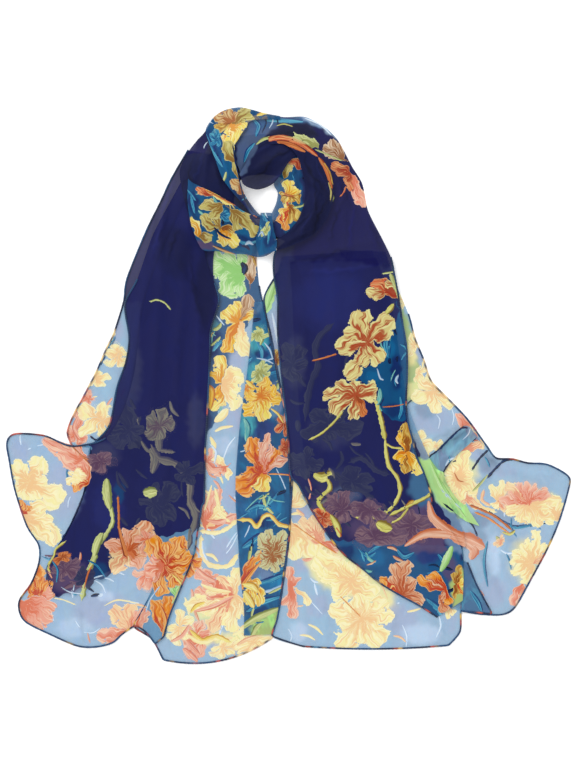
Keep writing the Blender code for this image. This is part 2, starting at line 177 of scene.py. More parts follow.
# The colours of a motif's parts as they look in place, then its cover and what is below.
PALETTES = {row[1]: Palette(*row[2:]) for row in rows_of("""
cream 248,238,174 243,198,146 251,244,198 245,220,158 0.8 floor
blush 244,208,164 230,148,120 249,230,180 228,162,132 0.8 floor
coral 238,170,148 224,122,92 248,210,182 216,128,104 0.82 floor
ivory 204,204,158 168,104,74 226,224,184 146,88,64 0.88 pale
salmon 232,172,152 216,128,102 244,204,184 208,128,108 0.86 pale
orange 238,152,80 198,80,34 250,204,142 178,82,40 0.88 pale
lemon 246,226,122 228,150,48 252,242,176 206,152,60 0.9 pale
gold 194,140,62 140,72,30 230,206,118 120,68,36 0.93 teal
amber 242,192,84 220,128,40 250,226,142 204,124,46 0.9 pale
scarlet 212,92,56 160,44,24 240,178,120 140,46,28 0.95 navy
showy 224,206,134 172,54,24 236,230,160 160,54,30 0.97 navy
brick 222,150,112 184,78,46 238,206,172 150,66,46 0.92 teal
rosewood 106,80,106 92,62,92 140,110,120 78,56,92 0.92 navy
ghost 47,51,90 41,45,88 60,64,94 38,42,84 0.92 navy
faded 106,104,108 94,76,98 138,134,122 70,68,96 0.92 navy
moss 196,206,132 150,150,80 222,226,160 120,130,70 0.95 navy
bark 208,204,104 150,120,50 232,228,140 128,104,44 0.95 navy
leaf 190,233,166 146,208,130 222,244,204 148,198,128 0.86 pale
ember 206,112,60 150,60,30 226,150,90 140,60,34 0.95 navy
sea 46,128,176 30,90,140 110,190,214 20,76,130 0.9 pale
foam 206,224,240 170,200,230 236,244,250 160,190,220 0.7 floor
ink 20,40,88 14,24,60 40,80,130 12,20,56 0.92 pale
olive 196,184,106 146,104,48 218,210,142 112,88,48 0.95 teal
peachy 206,158,100 168,92,48 228,202,148 140,84,54 0.95 teal
aquatic 110,190,190 60,130,160 170,220,200 40,110,140 0.9 pale
cocoa 206,170,140 150,96,70 236,216,190 130,80,60 0.92 pale
""")}
PALETTE_NAMES = list(PALETTES)
NO_MOTIF = 0.5 / len(PALETTES)   # the palette's number where there is no motif

Crease = namedtuple("Crease", "sheets x0 y0 x1 y1 width height sway shade")
# width is a half-width in mm; height is over 0 for a ridge and under 0 for a trough, in mm; sway is
# how far its middle bends aside; shade is painted shade along the crease (over 0) or a painted
# highlight (under 0): how much darker or lighter its colour is made.
CREASES = [Crease(*row) for row in rows_of("""
left_front left_under:
163 240 150 420 7 1.6 3 0.1
left_front:
186 262 176 440 6 1.4 -2 0.08
198 280 192 500 5 1 2 -0.1
left_front left_under:
148 262 128 408 8 1.2 -3 -0.12
left_front:
170 420 160 540 7 1.2 2 0.1
30 446 62 600 6 1.5 6 0.08
12 452 40 560 4 0.9 -3 0.07
60 452 50 540 4 0.8 2 -0.08
80 604 84 645 3 0.9 0 0.16
50 596 130 572 3 0.8 3 0.1
118 600 176 566 4 0.9 2 0.08
34 560 70 640 5 0.8 -2 -0.06
left_corner:
104 320 80 430 4 0.8 1 0.1
128 250 172 168 3 0.8 1 -0.25
middle_fall:
223 330 214 500 5 1 2 0.07
214 470 206 640 5 1.2 -3 0.08
232 560 225 655 4 0.9 2 -0.08
182 590 190 655 4 1 0 0.1
160 600 172 655 3 0.8 0 0.12
middle_fold:
272 340 276 480 3 0.7 1 0.12
256 350 254 520 4 0.9 -1 0.1
246 500 276 500 2 0.6 2 -0.12
248 598 282 586 2.5 0.7 1 0.16
right_front:
300 262 306 440 8 1.5 3 0.1
334 250 340 470 9 1.6 -4 -0.06
372 262 392 430 7 1.5 3 0.1
356 190 378 262 5 1.3 2 -0.1
343 180 346 260 4 1 2 0.12
316 420 330 530 6 1.1 2 0.08
396 540 398 600 3 0.8 0 0.12
350 546 452 552 3 0.8 1 0.12
284 258 384 240 6 1.2 -4 0.1
right_bottom:
320 560 328 640 5 0.9 2 0.06
396 600 392 645 4 0.8 1 0.1
430 612 450 640 4 0.8 0 0.1
300 560 302 636 3 0.7 1 -0.08
right_wing:
476 448 500 470 4 1.4 2 0.16
489 470 478 486 3 1 0 0.14
478 468 552 486 5 1.2 4 0.07
486 520 540 552 5 1.2 -4 0.09
470 540 506 612 6 1.4 5 0.1
500 545 512 610 6 1 -3 -0.08
424 360 440 440 5 1 2 0.07
408 404 428 384 2.5 0.9 1 0.3
424 446 464 424 3 1 1 0.2
462 520 478 548 3 1.2 1 0.22
wing_fold:
430 458 468 428 3 1.4 1 0.3
444 476 472 446 3 1 1 0.35
438 464 466 438 3 0.8 1 -0.2
right_wing:
484 470 500 452 4 1 1 0.14
wing_pleat:
426 470 464 520 4 1.2 1 0.08
left_shoulder:
196 160 176 230 4 1.8 4 0.14
208 150 196 214 3.5 1.4 3 -0.1
186 200 206 246 3 1.2 -2 0.16
left_front left_under left_corner:
172 190 160 262 5 1.6 -4 0.2
160 200 150 250 3 1.2 -1 0.14
176 250 206 300 5 1.4 -6 0.22
crown:
222 112 222 160 3 1.2 2 0.1
238 118 236 200 3 1.4 3 0.14
246 126 236 152 2 1.6 1 0.3
250 120 276 116 3 1.2 1 0.12
inner_roll:
246 176 286 146 5 2.2 -5 0.16
250 190 296 162 4 1.8 -5 -0.12
262 160 292 150 3 1.4 -2 0.2
252 198 280 192 3 1.4 -2 0.18
inner_fold:
288 166 284 226 3 1.6 2 0.1
300 172 298 222 3 1.8 -3 0.22
right_wind:
292 150 330 200 4 2.2 -8 0.14
314 160 318 232 3.5 1.8 -4 -0.1
326 176 312 246 3.5 1.8 -5 0.18
300 168 304 226 3 1.6 -3 0.18
284 246 316 232 3 1.4 2 0.14
right_front:
300 116 352 160 4 1.6 -6 0.12
334 150 352 210 3.5 1.5 -3 0.14
270 120 316 124 3 1.4 -2 0.1
272 132 314 134 4 -1.2 -3 0.4
cross_band:
196 196 262 232 3.5 2.4 3 0.14
190 204 252 246 3.5 2.2 4 0.16
194 230 246 254 3 1.8 3 0.14
214 196 268 220 2.5 1.6 2 -0.1
226 232 262 244 2.5 1.4 1 -0.1
left_shoulder:
190 166 187 206 2 1.2 1 0.4
204 150 192 188 2 1 2 -0.3
214 166 226 196 2 1 -1 0.3
178 196 168 244 2.5 1.2 2 0.35
196 152 180 196 1.6 0.8 2 0.3
inner_roll:
248 182 274 160 1.8 1 -3 0.4
256 168 296 146 1.8 1 -3 0.35
262 184 296 168 2.2 1 -3 -0.35
250 156 276 142 1.8 0.9 -2 -0.3
right_wind:
302 152 330 196 2 1.2 -6 0.4
330 196 312 244 2 1.2 -5 0.4
312 150 338 200 1.8 1 -6 -0.4
322 206 296 246 2 1 -4 -0.35
316 178 318 224 1.8 1 -3 0.35
290 238 314 214 1.8 0.8 4 0.3
right_front:
338 160 352 210 2 1 -3 0.35
346 196 330 248 2.5 1.2 -5 0.4
356 200 350 256 2.5 1 -3 -0.35
290 262 350 246 3 1 -4 0.3
296 272 392 262 3 0.9 -4 -0.3
366 216 384 258 3 1 2 0.2
292 112 336 132 2 0.8 -3 -0.3
274 119 300 117 2 0.8 1 0.35
crown:
228 132 242 176 1.6 0.9 2 0.35
208 128 232 190 1.8 0.9 3 -0.25
252 122 246 150 1.6 0.8 1 0.4
258 120 254 142 1.4 0.7 1 -0.4
264 119 262 138 1.4 0.7 1 0.4
270 118 268 134 1.4 0.7 1 -0.3
cross_band:
192 198 246 240 1.6 1 3 0.35
198 194 262 226 1.6 1 3 0.35
194 214 228 246 1.6 0.9 2 0.3
190 210 226 240 1.6 0.8 2 -0.3
inner_fold:
294 166 292 214 1.4 0.8 1 0.35
middle_fall:
212 252 236 262 1.8 0.8 1 0.25
left_front left_under left_corner:
176 176 160 230 2.5 1 -3 -0.45
168 214 150 262 2.5 1 -2 -0.35
left_front left_under:
182 226 168 262 3 1.2 -3 0.4
190 250 206 330 3 1 -4 0.35
right_wing:
430 420 462 396 3 0.8 1 -0.1
478 540 488 590 4 1 2 0.16
470 552 478 596 3 0.8 1 -0.14
494 530 496 584 3 0.8 1 -0.14
520 470 556 476 3 0.7 1 -0.1
pinch:
266 212 266 250 3 2.2 1 0.12
274 214 272 248 2.5 1.6 0 0.2
""")]

Patch = namedtuple("Patch", "sheets ground soft strength outline")
# soft is the blurred edge's width in mm. An outline of one place is a spot: x, y and its two
# half-widths.
# The deep spots at 206,290 and 176,252 on the left tail are painted shadows beside a hem and the
# ring, and the deep outline at 268,136 on right_front is painted shade in the hollow under the
# crown.
PATCHES = [Patch(*row[:4], row[4:]) for row in rows_of("""
left_front:
sky 2 1 0,415 60,424 91,447 90,463 86,486 80,504 72,522 60,541 50,560 46,573 48,590 56,598 84,587
 108,575 142,549 157,538 202,527 230,527 230,700 -20,700 -20,415
lavender 20 0.8 62,490,22,34
lavender 20 0.9 102,610,34,20
mist 20 0.7 106,596,10,7
lavender 20 0.7 20,450,12,14
mist 20 0.5 74,628,20,12
slate 14 0.8 172,612,14,40
dusk 20 0.5 108,506,18,30
smoke 20 0.45 128,372,16,44
smoke 20 0.45 104,455,18,14
smoke 20 0.4 196,420,10,30
plum 14 0.9 70,578,24,18
ocean 10 0.8 60,558,10,8
teal 10 0.5 100,572,8,12
teal 10 0.3 116,552,8,10
teal 20 0.5 120,492,6,12
deep 20 0.6 206,290,12,46
left_front left_under:
deep 20 0.5 176,252,20,30
left_corner:
sky 2 1 60,302 140,302 140,470 60,470
lavender 20 0.8 114,326,10,18
mist 20 0.5 88,404,8,12
middle_fall:
teal 2 1 190,262 262,256 262,300 250,318 238,346 232,366 226,384 216,404 218,420 208,434 196,440
 196,352
ocean 8 0.9 212,340,10,24
ocean 8 0.8 206,420,8,14
aqua 8 0.5 214,326,6,6
lavender 20 1 238,360,10,14
lavender 20 0.9 234,420,10,14
mist 20 0.5 222,446,12,10
lavender 20 0.9 232,495,10,20
lavender 10 1 222,550,16,16
mist 20 0.7 200,552,6,14
lavender 14 0.9 206,620,12,8
peach 10 0.8 208,512,9,22
butter 10 0.9 208,606,22,20
peach 12 0.8 212,594,22,10
butter 10 0.95 206,638,30,8
butter 10 0.95 250,640,26,12
lavender 12 0.9 218,648,12,6
peach 14 0.7 250,646,20,9
middle_fold:
slate 4 1 246,280 258,282 264,310 250,316
aqua 14 0.8 258,340,10,16
aqua 14 0.8 258,372,12,12
ocean 10 0.9 262,354,8,8
aqua 14 0.9 247,424,9,14
dusk 10 0.7 264,430,12,12
lavender 10 0.5 276,400,8,20
bright 14 0.9 262,508,24,10
bright 12 0.9 252,536,14,14
ocean 10 0.8 262,522,16,6
lavender 10 0.7 260,574,14,9
bright 12 0.8 272,584,16,8
ocean 10 0.7 262,612,20,6
meadow 8 0.9 250,622 284,608 288,640 254,646
right_bottom:
leafy 2 1 262,268 282,262 278,292 268,312 262,312
lavender 20 0.9 276,332,8,24
lavender 16 0.9 302,560,10,14
lavender 16 0.8 300,512,10,8
butter 10 0.9 290,524 312,532 342,550 374,572 394,592 398,612 372,604 340,596 316,582 304,560
 290,552
peach 12 0.75 346,578,22,10
peach 10 0.7 318,552,12,7
butter 12 0.6 362,620,18,16
peach 14 0.7 362,616,12,14
butter 6 0.95 292,478 299,486 306,502 292,508
lavender 6 0.95 292,506 306,504 312,516 292,520
lavender 20 0.9 400,620,22,18
mist 20 0.7 420,634,22,12
lavender 20 0.8 318,606,14,14
mist 20 0.6 298,632,10,12
lavender 14 0.7 450,620,8,16
right_front:
teal 2 1 316,538 340,540 400,543 441,546 480,547 480,640 420,640 400,612 330,560
bright 12 0.7 372,558,16,10
ocean 12 0.8 346,552,10,8
dusk 10 0.8 428,556,14,9
plum 8 0.8 450,568,8,16
meadow 6 0.95 450,584 456,570 466,566 466,622 454,616
navy 4 0.9 457,546 466,546 466,560 460,562
plum 14 0.75 384,528,46,18
plum 14 0.5 322,505,12,20
slate 6 0.9 409,430 416,444 428,462 440,490 444,506 420,508 411,488 414,464
plum 6 0.9 410,506 430,504 444,526 446,552 410,552
haze 5 1 424,488 444,494 474,540 476,552 452,552 444,536 430,516
slate 8 0.9 412,474 424,482 432,496 420,502 408,494
smoke 20 0.35 330,432,26,20
smoke 20 0.4 296,362,12,30
smoke 20 0.35 340,480,30,14
haze 12 0.3 346,494,16,10
teal 2 1 396,298 404,326 408,362 409,390 405,421 392,419 381,408 383,396 376,386 360,382 358,374
 362,368 374,363 385,352 385,336 394,327 398,312
ocean 8 0.9 396,372,6,20
bright 8 0.7 389,348,6,12
bright 8 0.6 372,376,8,6
ocean 8 0.8 394,410,10,8
dusk 20 0.5 330,300,40,34
night 12 0.9 250,100 336,100 362,160 352,206 330,240 282,256 250,200
alone 6 1 292,262 296,238 314,236 326,214 328,190 322,168 310,148 322,104 420,104 420,268 384,268
 344,260
right_front inner_roll crown:
dim 3 0.95 244,128 272,130 262,141 257,150 250,162 245,178 236,176 236,140
right_front:
pewter 4 0.95 244,112 262,104 292,108 284,122 271,131 262,137 246,134
teal 4 0.95 250,116 262,108 292,106 324,112 344,128 334,134 314,126 292,122 272,125 256,134
haze 4 0.9 300,111 322,114 340,128 348,142 334,137 318,127 302,121
deep 8 0.95 268,136 278,129 294,125 308,128 318,136 304,138 288,137 274,142
right_inner:
haze 2 1 400,372 410,430 424,468 433,494 446,516 462,540 470,560 520,560 520,380
leafy 3 1 418,458 434,460 442,468 446,482 453,494 466,504 469,521 456,516 440,504 428,486
sky 8 0.8 400,380 430,400 424,450 412,440
right_wing:
lavender 20 0.9 432,420,22,16
butter 10 0.85 462,474,18,26
peach 10 0.7 466,492,12,12
peach 10 0.75 524,500,30,18
butter 10 0.8 552,506,10,14
butter 10 0.8 524,560,16,24
butter 10 0.6 434,396,12,10
butter 8 0.8 420,444,14,8
leafy 2 1 420,460 434,460 442,468 446,482 453,494 466,504 469,521 456,516 440,504 428,486
haze 14 0.8 426,408,12,12
haze 10 0.9 480,520,12,10
lavender 20 0.7 500,470,20,8
mist 20 0.6 494,556,8,24
lavender 20 0.8 492,592,16,18
haze 12 0.8 446,516,18,16
haze 12 0.7 478,536,10,10
haze 8 0.8 480,452 490,456 500,462 488,474 478,468
haze 10 0.6 500,516,26,7
lavender 6 0.9 466,430 476,444 484,452 474,462 464,452
meadow 4 0.9 400,300 412,330 420,372 416,402 406,402 404,340
butter 6 0.9 412,352,6,16
butter 4 0.8 406,384 420,380 428,384 418,392 407,400
lavender 6 0.8 420,350,6,14
crown:
haze 8 0.7 260,126,14,10
left_shoulder:
alone 3 0.95 176,116 216,116 212,140 205,154 176,154
crown:
ocean 8 0.9 210,152,8,24
ocean 8 0.8 248,200,10,14
navy 8 0.6 230,180 246,196 262,224 252,226 232,200
cross_band:
ocean 10 0.9 194,206,6,12
ocean 10 0.8 240,242,22,7
plum 6 0.9 205,246,14,6
inner_fold:
navy 3 0.9 304,160 322,180 320,240 300,256 304,210 300,180
navy 3 0.9 262,222 280,220 290,246 262,250
pinch:
ocean 8 0.7 270,242,6,8
""")]

Bloom = namedtuple("Bloom", "sheets x y size turn palette narrow lean over", defaults=(1, 0, 0))
# A flower of five like petals, its size being a petal's length.
BLOOMS = [Bloom(*row) for row in rows_of("""
left_front:
147 541 14 20 coral 0.9 0 1
146 578 14 0 coral 1 0 1
160 425 19 90 faded 0.8 60
126 430 22 10 ghost
120 345 16 40 ghost
158 502 22 40 ghost
186 470 16 10 ghost 0.8
100 463 14 0 rosewood 0.8 0 1
66 568 17 0 rosewood 0.8 30
84 578 13 0 ghost 0.8 30
62 558 9 0 ember 0.6 30 1
left_corner:
116 356 14 20 cream
97 379 11 60 cream 0.8 20 1
76 430 19 30 coral 0.8 60
98 420 22 70 cream 0.9 0 1
88 398 9 70 coral 0.9 0
108 334 8 70 cream 0.9 0 1
middle_fall:
208 462 12 20 coral 0.7 70
198 640 20 0 coral 0.8 80
180 628 17 40 cream 0.8 60 1
252 642 20 40 cream 0.7 20
226 648 18 10 cream 0.5 10
186 562 18 40 orange 0.8 20
middle_fold:
249 388 8 20 amber 0.8 40 1
284 424 12 20 scarlet 0.7 60
285 448 11 50 scarlet 0.6 80
258 334 11 50 moss 0.7 10
262 372 13 10 moss 0.7 30
right_bottom:
276 360 11 60 gold 0.5 70
283 398 10 60 blush 0.5 80
452 604 16 10 cream 0.5 80 1
450 580 14 50 gold 0.6 80 1
right_wing:
434 394 20 60 cream
420 372 12 10 cream 0.5 70
412 344 12 10 cream 0.5 90
404 300 10 10 cream 0.5 90
418 445 17 10 cream 0.8 -10
436 446 6 10 cream 0.8 20 1
500 540 9 10 blush 0.5 60
right_front:
292 361 20 60 ghost
330 424 28 60 ghost 0.8 0
302 462 20 60 ghost 0.8 0
352 480 26 30 ghost 0.5 -10
340 506 22 30 rosewood 0.8 30
366 512 18 70 rosewood 0.7 -20 1
378 534 26 10 rosewood 0.6 0 1
408 528 24 80 rosewood 0.8 10
322 518 13 0 scarlet 0.8 -30 1
266 113 13 30 lemon 0.35 -6
crown:
216 140 9 10 sea 0.6 80
262 124 14 10 faded 0.6 -30
cross_band:
222 216 12 50 sea 0.7 -30
pinch:
266 231 9 10 moss 0.5 70
""")]

Twig = namedtuple("Twig", "sheets palette width form over points")
# A brush stroke: its width in mm, its form (stem, leaf, point or petal), 1 if it lies over the
# flowers, and its points.
TWIGS = [Twig(*row[:5], row[5:]) for row in rows_of("""
left_front:
moss 12 leaf 1 107,478 107,492 110,510
moss 5 stem 0 110,504 113,521 106,535 99,545
moss 10 leaf 1 103,532 97,544 94,557
moss 7 stem 0 97,552 91,566 86,581 82,599
ember 2.5 leaf 1 93,564 88,574 84,590
faded 12 leaf 0 152,424 158,436 160,452
faded 9 stem 0 152,446 158,458 176,464 190,482 190,500 196,516 192,534
faded 5 stem 0 160,450 174,452
faded 13 leaf 0 150,448 156,458 152,474
faded 7 leaf 0 190,528 190,542 184,552
moss 14 leaf 1 143,492 150,492 158,491
ember 3 stem 1 118,496 119,514 119,530
ember 6 point 1 126,554 121,536 118,522
ember 1.6 stem 1 62,438 74,448 90,464
ember 1.6 stem 1 70,444 80,454 90,460
bark 3 stem 1 66,541 56,549 54,556 48,566 50,572
ink 2.2 stem 0 91,447 90,464 86,486 80,504 72,522 62,541
cream 1.6 stem 1 54,598 64,600 76,605
moss 2.2 stem 1 150,302 157,300 165,303 171,310
foam 2.5 leaf 0 20,434 21,446
foam 2.4 leaf 0 27,450 32,447
foam 5 leaf 0 97,595 104,594
foam 1.6 stem 1 160,586 150,600 146,612
moss 3 stem 1 186,574 180,588 172,604
foam 1.6 leaf 1 60,586 70,592 84,594
sea 3 leaf 1 88,560 98,566 106,578
sea 3 leaf 1 52,560 58,570 56,584
rosewood 6 leaf 0 62,590 74,584 88,586
foam 1.8 leaf 0 36,446 44,444 50,440
orange 5 leaf 1 160,604 166,622 162,640
lemon 3 leaf 1 172,574 180,582 188,596
cream 2 leaf 1 104,606 118,600 140,604
left_corner:
ink 2.5 stem 0 90,436 96,440 102,436
sea 5 leaf 0 116,336 106,352 100,366
coral 5 leaf 1 80,440 74,428 78,416
middle_fall:
gold 3 stem 1 226,250 240,252 252,256 256,266
ink 8 leaf 1 241,262 245,268 243,275
foam 2 leaf 1 216,315 220,320 225,326
moss 5 leaf 0 212,330 218,328 222,322
moss 4 leaf 0 210,346 216,342 221,336
sea 7 leaf 0 212,352 217,344 222,340
cream 4 leaf 0 214,432 222,428 234,426
foam 2.4 leaf 0 222,462 228,446 236,436
cream 5 stem 1 200,531 216,533 228,528 237,520
cream 6 stem 1 201,536 202,552 210,565 228,566 238,554
cream 3 leaf 1 212,484 208,498 204,512
cream 3 leaf 1 214,494 220,510 228,516
foam 1.6 stem 1 238,534 232,546 226,554
cream 4 stem 1 215,488 218,502 221,514 230,522
coral 6 leaf 1 206,520 220,522 236,514
foam 5 leaf 1 202,540 203,552 208,562
foam 2 stem 1 226,548 231,540 237,532
coral 6 leaf 1 234,596 214,606 192,612
cream 5 leaf 1 232,592 214,590 200,584
coral 7 leaf 1 196,568 204,576 216,582
cream 6 leaf 1 186,634 200,642 214,640
lemon 5 stem 1 190,630 202,640 216,636 230,642
blush 5 leaf 1 236,646 246,640 262,634
coral 8 leaf 1 182,648 190,654 198,662
lemon 4 leaf 0 196,344 206,340 214,332
aquatic 3 leaf 0 198,320 208,330 216,336
amber 8 leaf 1 206,384 212,392 210,410
cream 10 leaf 1 228,408 222,416 214,422
foam 3 leaf 1 210,444 216,452 214,464
cream 6 leaf 0 210,436 214,446 212,456
coral 9 leaf 1 206,462 212,470 222,468
coral 5 leaf 1 170,642 182,636 190,624
cream 8 leaf 0 188,622 204,634 220,640
cream 7 leaf 0 232,636 244,628 256,624
coral 8 leaf 1 186,640 192,648 200,656
lemon 5 leaf 1 190,614 196,606 206,602
middle_fold:
lemon 5 stem 1 238,520 250,520 257,527 263,517 270,515 279,524 291,527
aquatic 2 leaf 0 264,494 254,502 244,512
aquatic 2 leaf 0 265,494 274,500 286,502
moss 5 leaf 0 263,494 266,506 274,514
sea 3 leaf 0 262,498 258,506 256,516
sea 9 leaf 0 246,512 258,506 272,508
sea 10 leaf 0 242,548 254,540 266,532
sea 8 leaf 0 256,584 270,580 284,574
foam 4 leaf 0 262,592 272,590 284,584
sea 8 leaf 0 246,612 262,602 282,596
moss 9 leaf 1 238,630 258,617 282,607
moss 6 leaf 0 250,640 256,628 262,622
foam 2.2 leaf 1 256,358 266,360 274,364
foam 2.2 leaf 1 264,342 270,350 273,360
sea 6 leaf 0 256,340 262,350 262,362
lemon 3 leaf 1 270,408 278,414 284,424
orange 2 stem 1 268,474 278,474 290,475
foam 1.6 stem 0 276,468 282,480 286,490
foam 1.6 stem 0 240,452 246,450 252,450
lemon 4 leaf 1 288,566 286,580 280,600
orange 7 point 1 240,588 252,572 262,560
lemon 10 leaf 1 242,584 252,586 258,592
lemon 9 leaf 1 244,590 250,600 254,608
moss 3 leaf 1 268,594 276,590 284,586
foam 2 leaf 0 244,538 248,530 250,524
aquatic 8 leaf 0 244,418 248,428 246,442
foam 1.6 stem 0 256,366 268,360 282,356
lemon 5 leaf 1 246,380 250,384 254,388
moss 7 leaf 0 256,326 262,334 260,346
coral 6 leaf 1 284,400 287,410 284,424
right_bottom:
leaf 10 leaf 1 276,274 270,292 265,312
foam 4 leaf 0 272,312 276,330 278,346
orange 1.6 stem 1 292,523 306,533 320,543 338,554
blush 2 leaf 1 376,572 382,586 388,600
foam 2.5 leaf 1 396,604 401,602
foam 2.5 leaf 0 438,612 441,626 436,638
foam 2 leaf 0 402,624 407,636 406,648
foam 2 leaf 0 288,628 292,636 290,642
orange 1.4 stem 1 361,617 350,606 340,596
right_wing:
ember 3 stem 1 469,505 482,510 496,517 512,530
orange 2.5 stem 1 474,512 488,518 502,528 510,534
bark 4 leaf 1 502,532 510,534 516,530
moss 5 leaf 0 496,536 502,544
moss 3 leaf 1 472,492 480,484 488,474
ink 1.8 stem 0 405,406 414,398 424,390 434,380
ink 2 leaf 0 466,503 480,507 494,514
foam 1.6 leaf 0 436,414 440,420 438,430
foam 1.6 leaf 0 450,404 454,416 452,426
leaf 5 leaf 1 430,462 442,488 466,518
leaf 4 leaf 1 438,466 444,484 456,502
foam 2 leaf 1 440,488 450,500 462,508
ink 2.2 stem 1 443,503 452,510 464,516 473,526 478,538
ember 2 leaf 1 454,472 458,480 464,482
wing_fold:
foam 2 leaf 0 462,440 468,434 470,428
right_front right_inner right_wing:
salmon 13 leaf 1 428,500 432,516 446,529 462,537 478,544
salmon 13 leaf 1 404,546 424,534 446,533 464,538 480,545
salmon 19 leaf 1 450,536 468,540 485,548
salmon 13 leaf 1 462,540 474,549 470,560
coral 3 leaf 1 436,522 450,534 470,542
right_inner:
leaf 5 leaf 1 430,462 442,488 466,518
foam 2 leaf 1 440,488 450,500 462,508
ink 2.2 stem 1 443,503 452,510 464,516 473,526 478,538
right_corner:
sea 6 leaf 0 470,590 478,602 482,612
right_wing:
coral 2.4 stem 1 473,580 478,588 484,596
ember 2 stem 1 466,566 470,575
wing_fold:
ink 2.8 stem 0 428,457 440,448 452,436 461,428 468,428
ink 2.8 stem 0 443,476 447,466 458,457 468,449 476,438
right_wing:
ink 2.8 stem 0 426,459 440,449 452,437 461,429 468,428
ink 2.6 stem 0 443,478 447,468 458,459 469,450
ink 2.8 stem 0 488,450 480,458 472,470
ink 3.2 stem 0 514,459 504,461 496,468 487,478
ink 1.6 stem 0 493,514 511,525 530,526 552,522
sea 5 leaf 0 498,518 514,527 536,524
sea 4 leaf 0 488,540 484,562 488,588
cream 6 stem 0 478,484 474,496 482,508 496,512
blush 4 stem 1 484,490 482,500 490,506
wing_pleat:
leaf 5 leaf 0 428,462 438,482 452,504
leaf 4 leaf 1 440,480 452,500 466,518
foam 2 leaf 1 440,486 450,498 462,510
right_front:
bark 6 stem 0 376,400 379,411 382,424 385,440
bark 5 stem 0 385,436 386,452 389,466 397,477 400,491 393,506 381,515 364,519 352,515
bark 4.5 stem 1 431,493 426,497 412,504 402,509 390,515
bark 3 stem 1 408,508 400,518 391,523
bark 14 leaf 1 376,522 384,526 392,529
bark 3 stem 0 384,442 392,447 402,448
gold 5 leaf 1 404,508 410,502 414,500
bark 12 leaf 0 313,473 322,477 333,471
bark 6 stem 0 327,478 330,488 319,500 324,511 332,520
bark 9 leaf 1 330,514 337,525 340,538
ember 5 leaf 1 336,526 339,532 341,538
coral 2 stem 0 308,478 311,488 309,500
ember 2.2 stem 1 337,354 324,358 312,361
cream 1.6 stem 1 366,342 356,342 346,343
bark 3 stem 1 343,411 334,422 322,433 309,440
bark 7 leaf 1 394,303 390,309 385,315
ghost 8 stem 0 333,324 320,336 315,350 318,366 312,380 308,396 305,420
ghost 7 stem 0 350,462 362,458 376,470 388,474
ghost 5 stem 0 336,492 358,490 374,498
ghost 5 leaf 0 335,470 342,460 340,450
moss 6 stem 1 390,274 396,288 401,300
sea 8 leaf 0 388,336 386,346 388,358
foam 2 leaf 0 386,336 387,342
foam 2.4 leaf 0 377,368 380,378 384,380
foam 3 leaf 1 399,374 396,380 398,384
sea 6 leaf 0 360,372 356,380 352,384
aquatic 7 leaf 0 380,388 380,398 376,406
sea 6 leaf 0 400,396 402,410 398,420
ember 1.6 stem 0 382,407 394,406 404,404
moss 2 stem 0 382,274 388,273 394,272
leaf 9 leaf 1 452,545 447,558 440,572
sea 5 leaf 0 358,548 368,556 376,552
sea 6 leaf 0 396,548 404,556 414,552
sea 8 leaf 0 426,598 440,610 450,628
ink 1.6 stem 0 418,506 420,518 423,531
moss 2 stem 1 315,150 328,155 342,161
scarlet 7 leaf 1 270,142 284,140 300,146
moss 4 leaf 1 256,146 264,140 276,138
bark 2 leaf 1 276,126 284,124 294,127
lemon 4 leaf 1 258,114 266,112 276,113
gold 3 leaf 1 264,117 272,115 282,114
crown:
lemon 5 leaf 1 256,116 264,113 274,112
right_front:
scarlet 5 leaf 1 318,157 327,170 332,190
peachy 3 leaf 1 322,164 328,176 331,190
moss 4 leaf 1 330,192 333,198 330,204
sea 7 leaf 0 264,120 284,120 304,122
foam 3 leaf 1 304,118 320,124 332,136
scarlet 2 stem 1 346,186 344,192 340,197
inner_roll:
scarlet 6 leaf 1 266,144 280,140 298,146
bark 5 leaf 1 252,150 260,143 272,140
right_wind:
ember 7 leaf 0 276,143 290,146 306,154
scarlet 7 leaf 0 288,142 302,146 318,158
scarlet 9 leaf 1 266,142 279,138 293,141
peachy 5 leaf 1 282,138 294,140 306,146
moss 3 leaf 1 261,142 269,137 280,135
ember 6 leaf 1 318,158 327,172 332,190
gold 3.5 leaf 1 322,160 329,172 333,186
olive 2.5 leaf 1 328,182 331,192 330,202
right_front:
sea 6 leaf 1 252,118 259,126 256,138
sea 5 leaf 1 244,164 248,152 255,144
ink 2.2 leaf 1 262,112 266,122 262,134
ink 2 leaf 1 270,112 277,119 278,127
foam 1.6 leaf 1 271,113 273,121 269,129
inner_fold:
moss 3 stem 1 293,209 304,206 308,198 310,193
ember 2 leaf 1 282,192 288,196 296,197
crown:
ink 2 stem 1 233,146 236,164 240,181 244,198 254,214
sea 8 leaf 0 206,134 212,150 224,170
foam 1.8 leaf 0 252,134 254,126 252,118
foam 1.8 leaf 0 214,124 210,122 206,118
cross_band:
ember 2 stem 1 208,193 226,202 244,210 258,219
ink 3 leaf 1 214,228 222,236 232,240
peachy 3 leaf 1 212,246 226,252 242,257
sea 5 leaf 0 192,196 194,206 196,216
sea 5 leaf 0 236,240 248,244 260,240
ghost 10 leaf 1 250,216 258,222 266,226
pinch:
sea 5 leaf 0 262,214 270,228 268,246
foam 2.2 leaf 1 258,238 262,233 264,238
cross_band:
foam 4 leaf 1 245,246 249,243 254,246
left_shoulder:
foam 1.6 leaf 0 208,142 205,146 204,150
""")]

Flower = namedtuple("Flower", "sheets palette over x y tips")
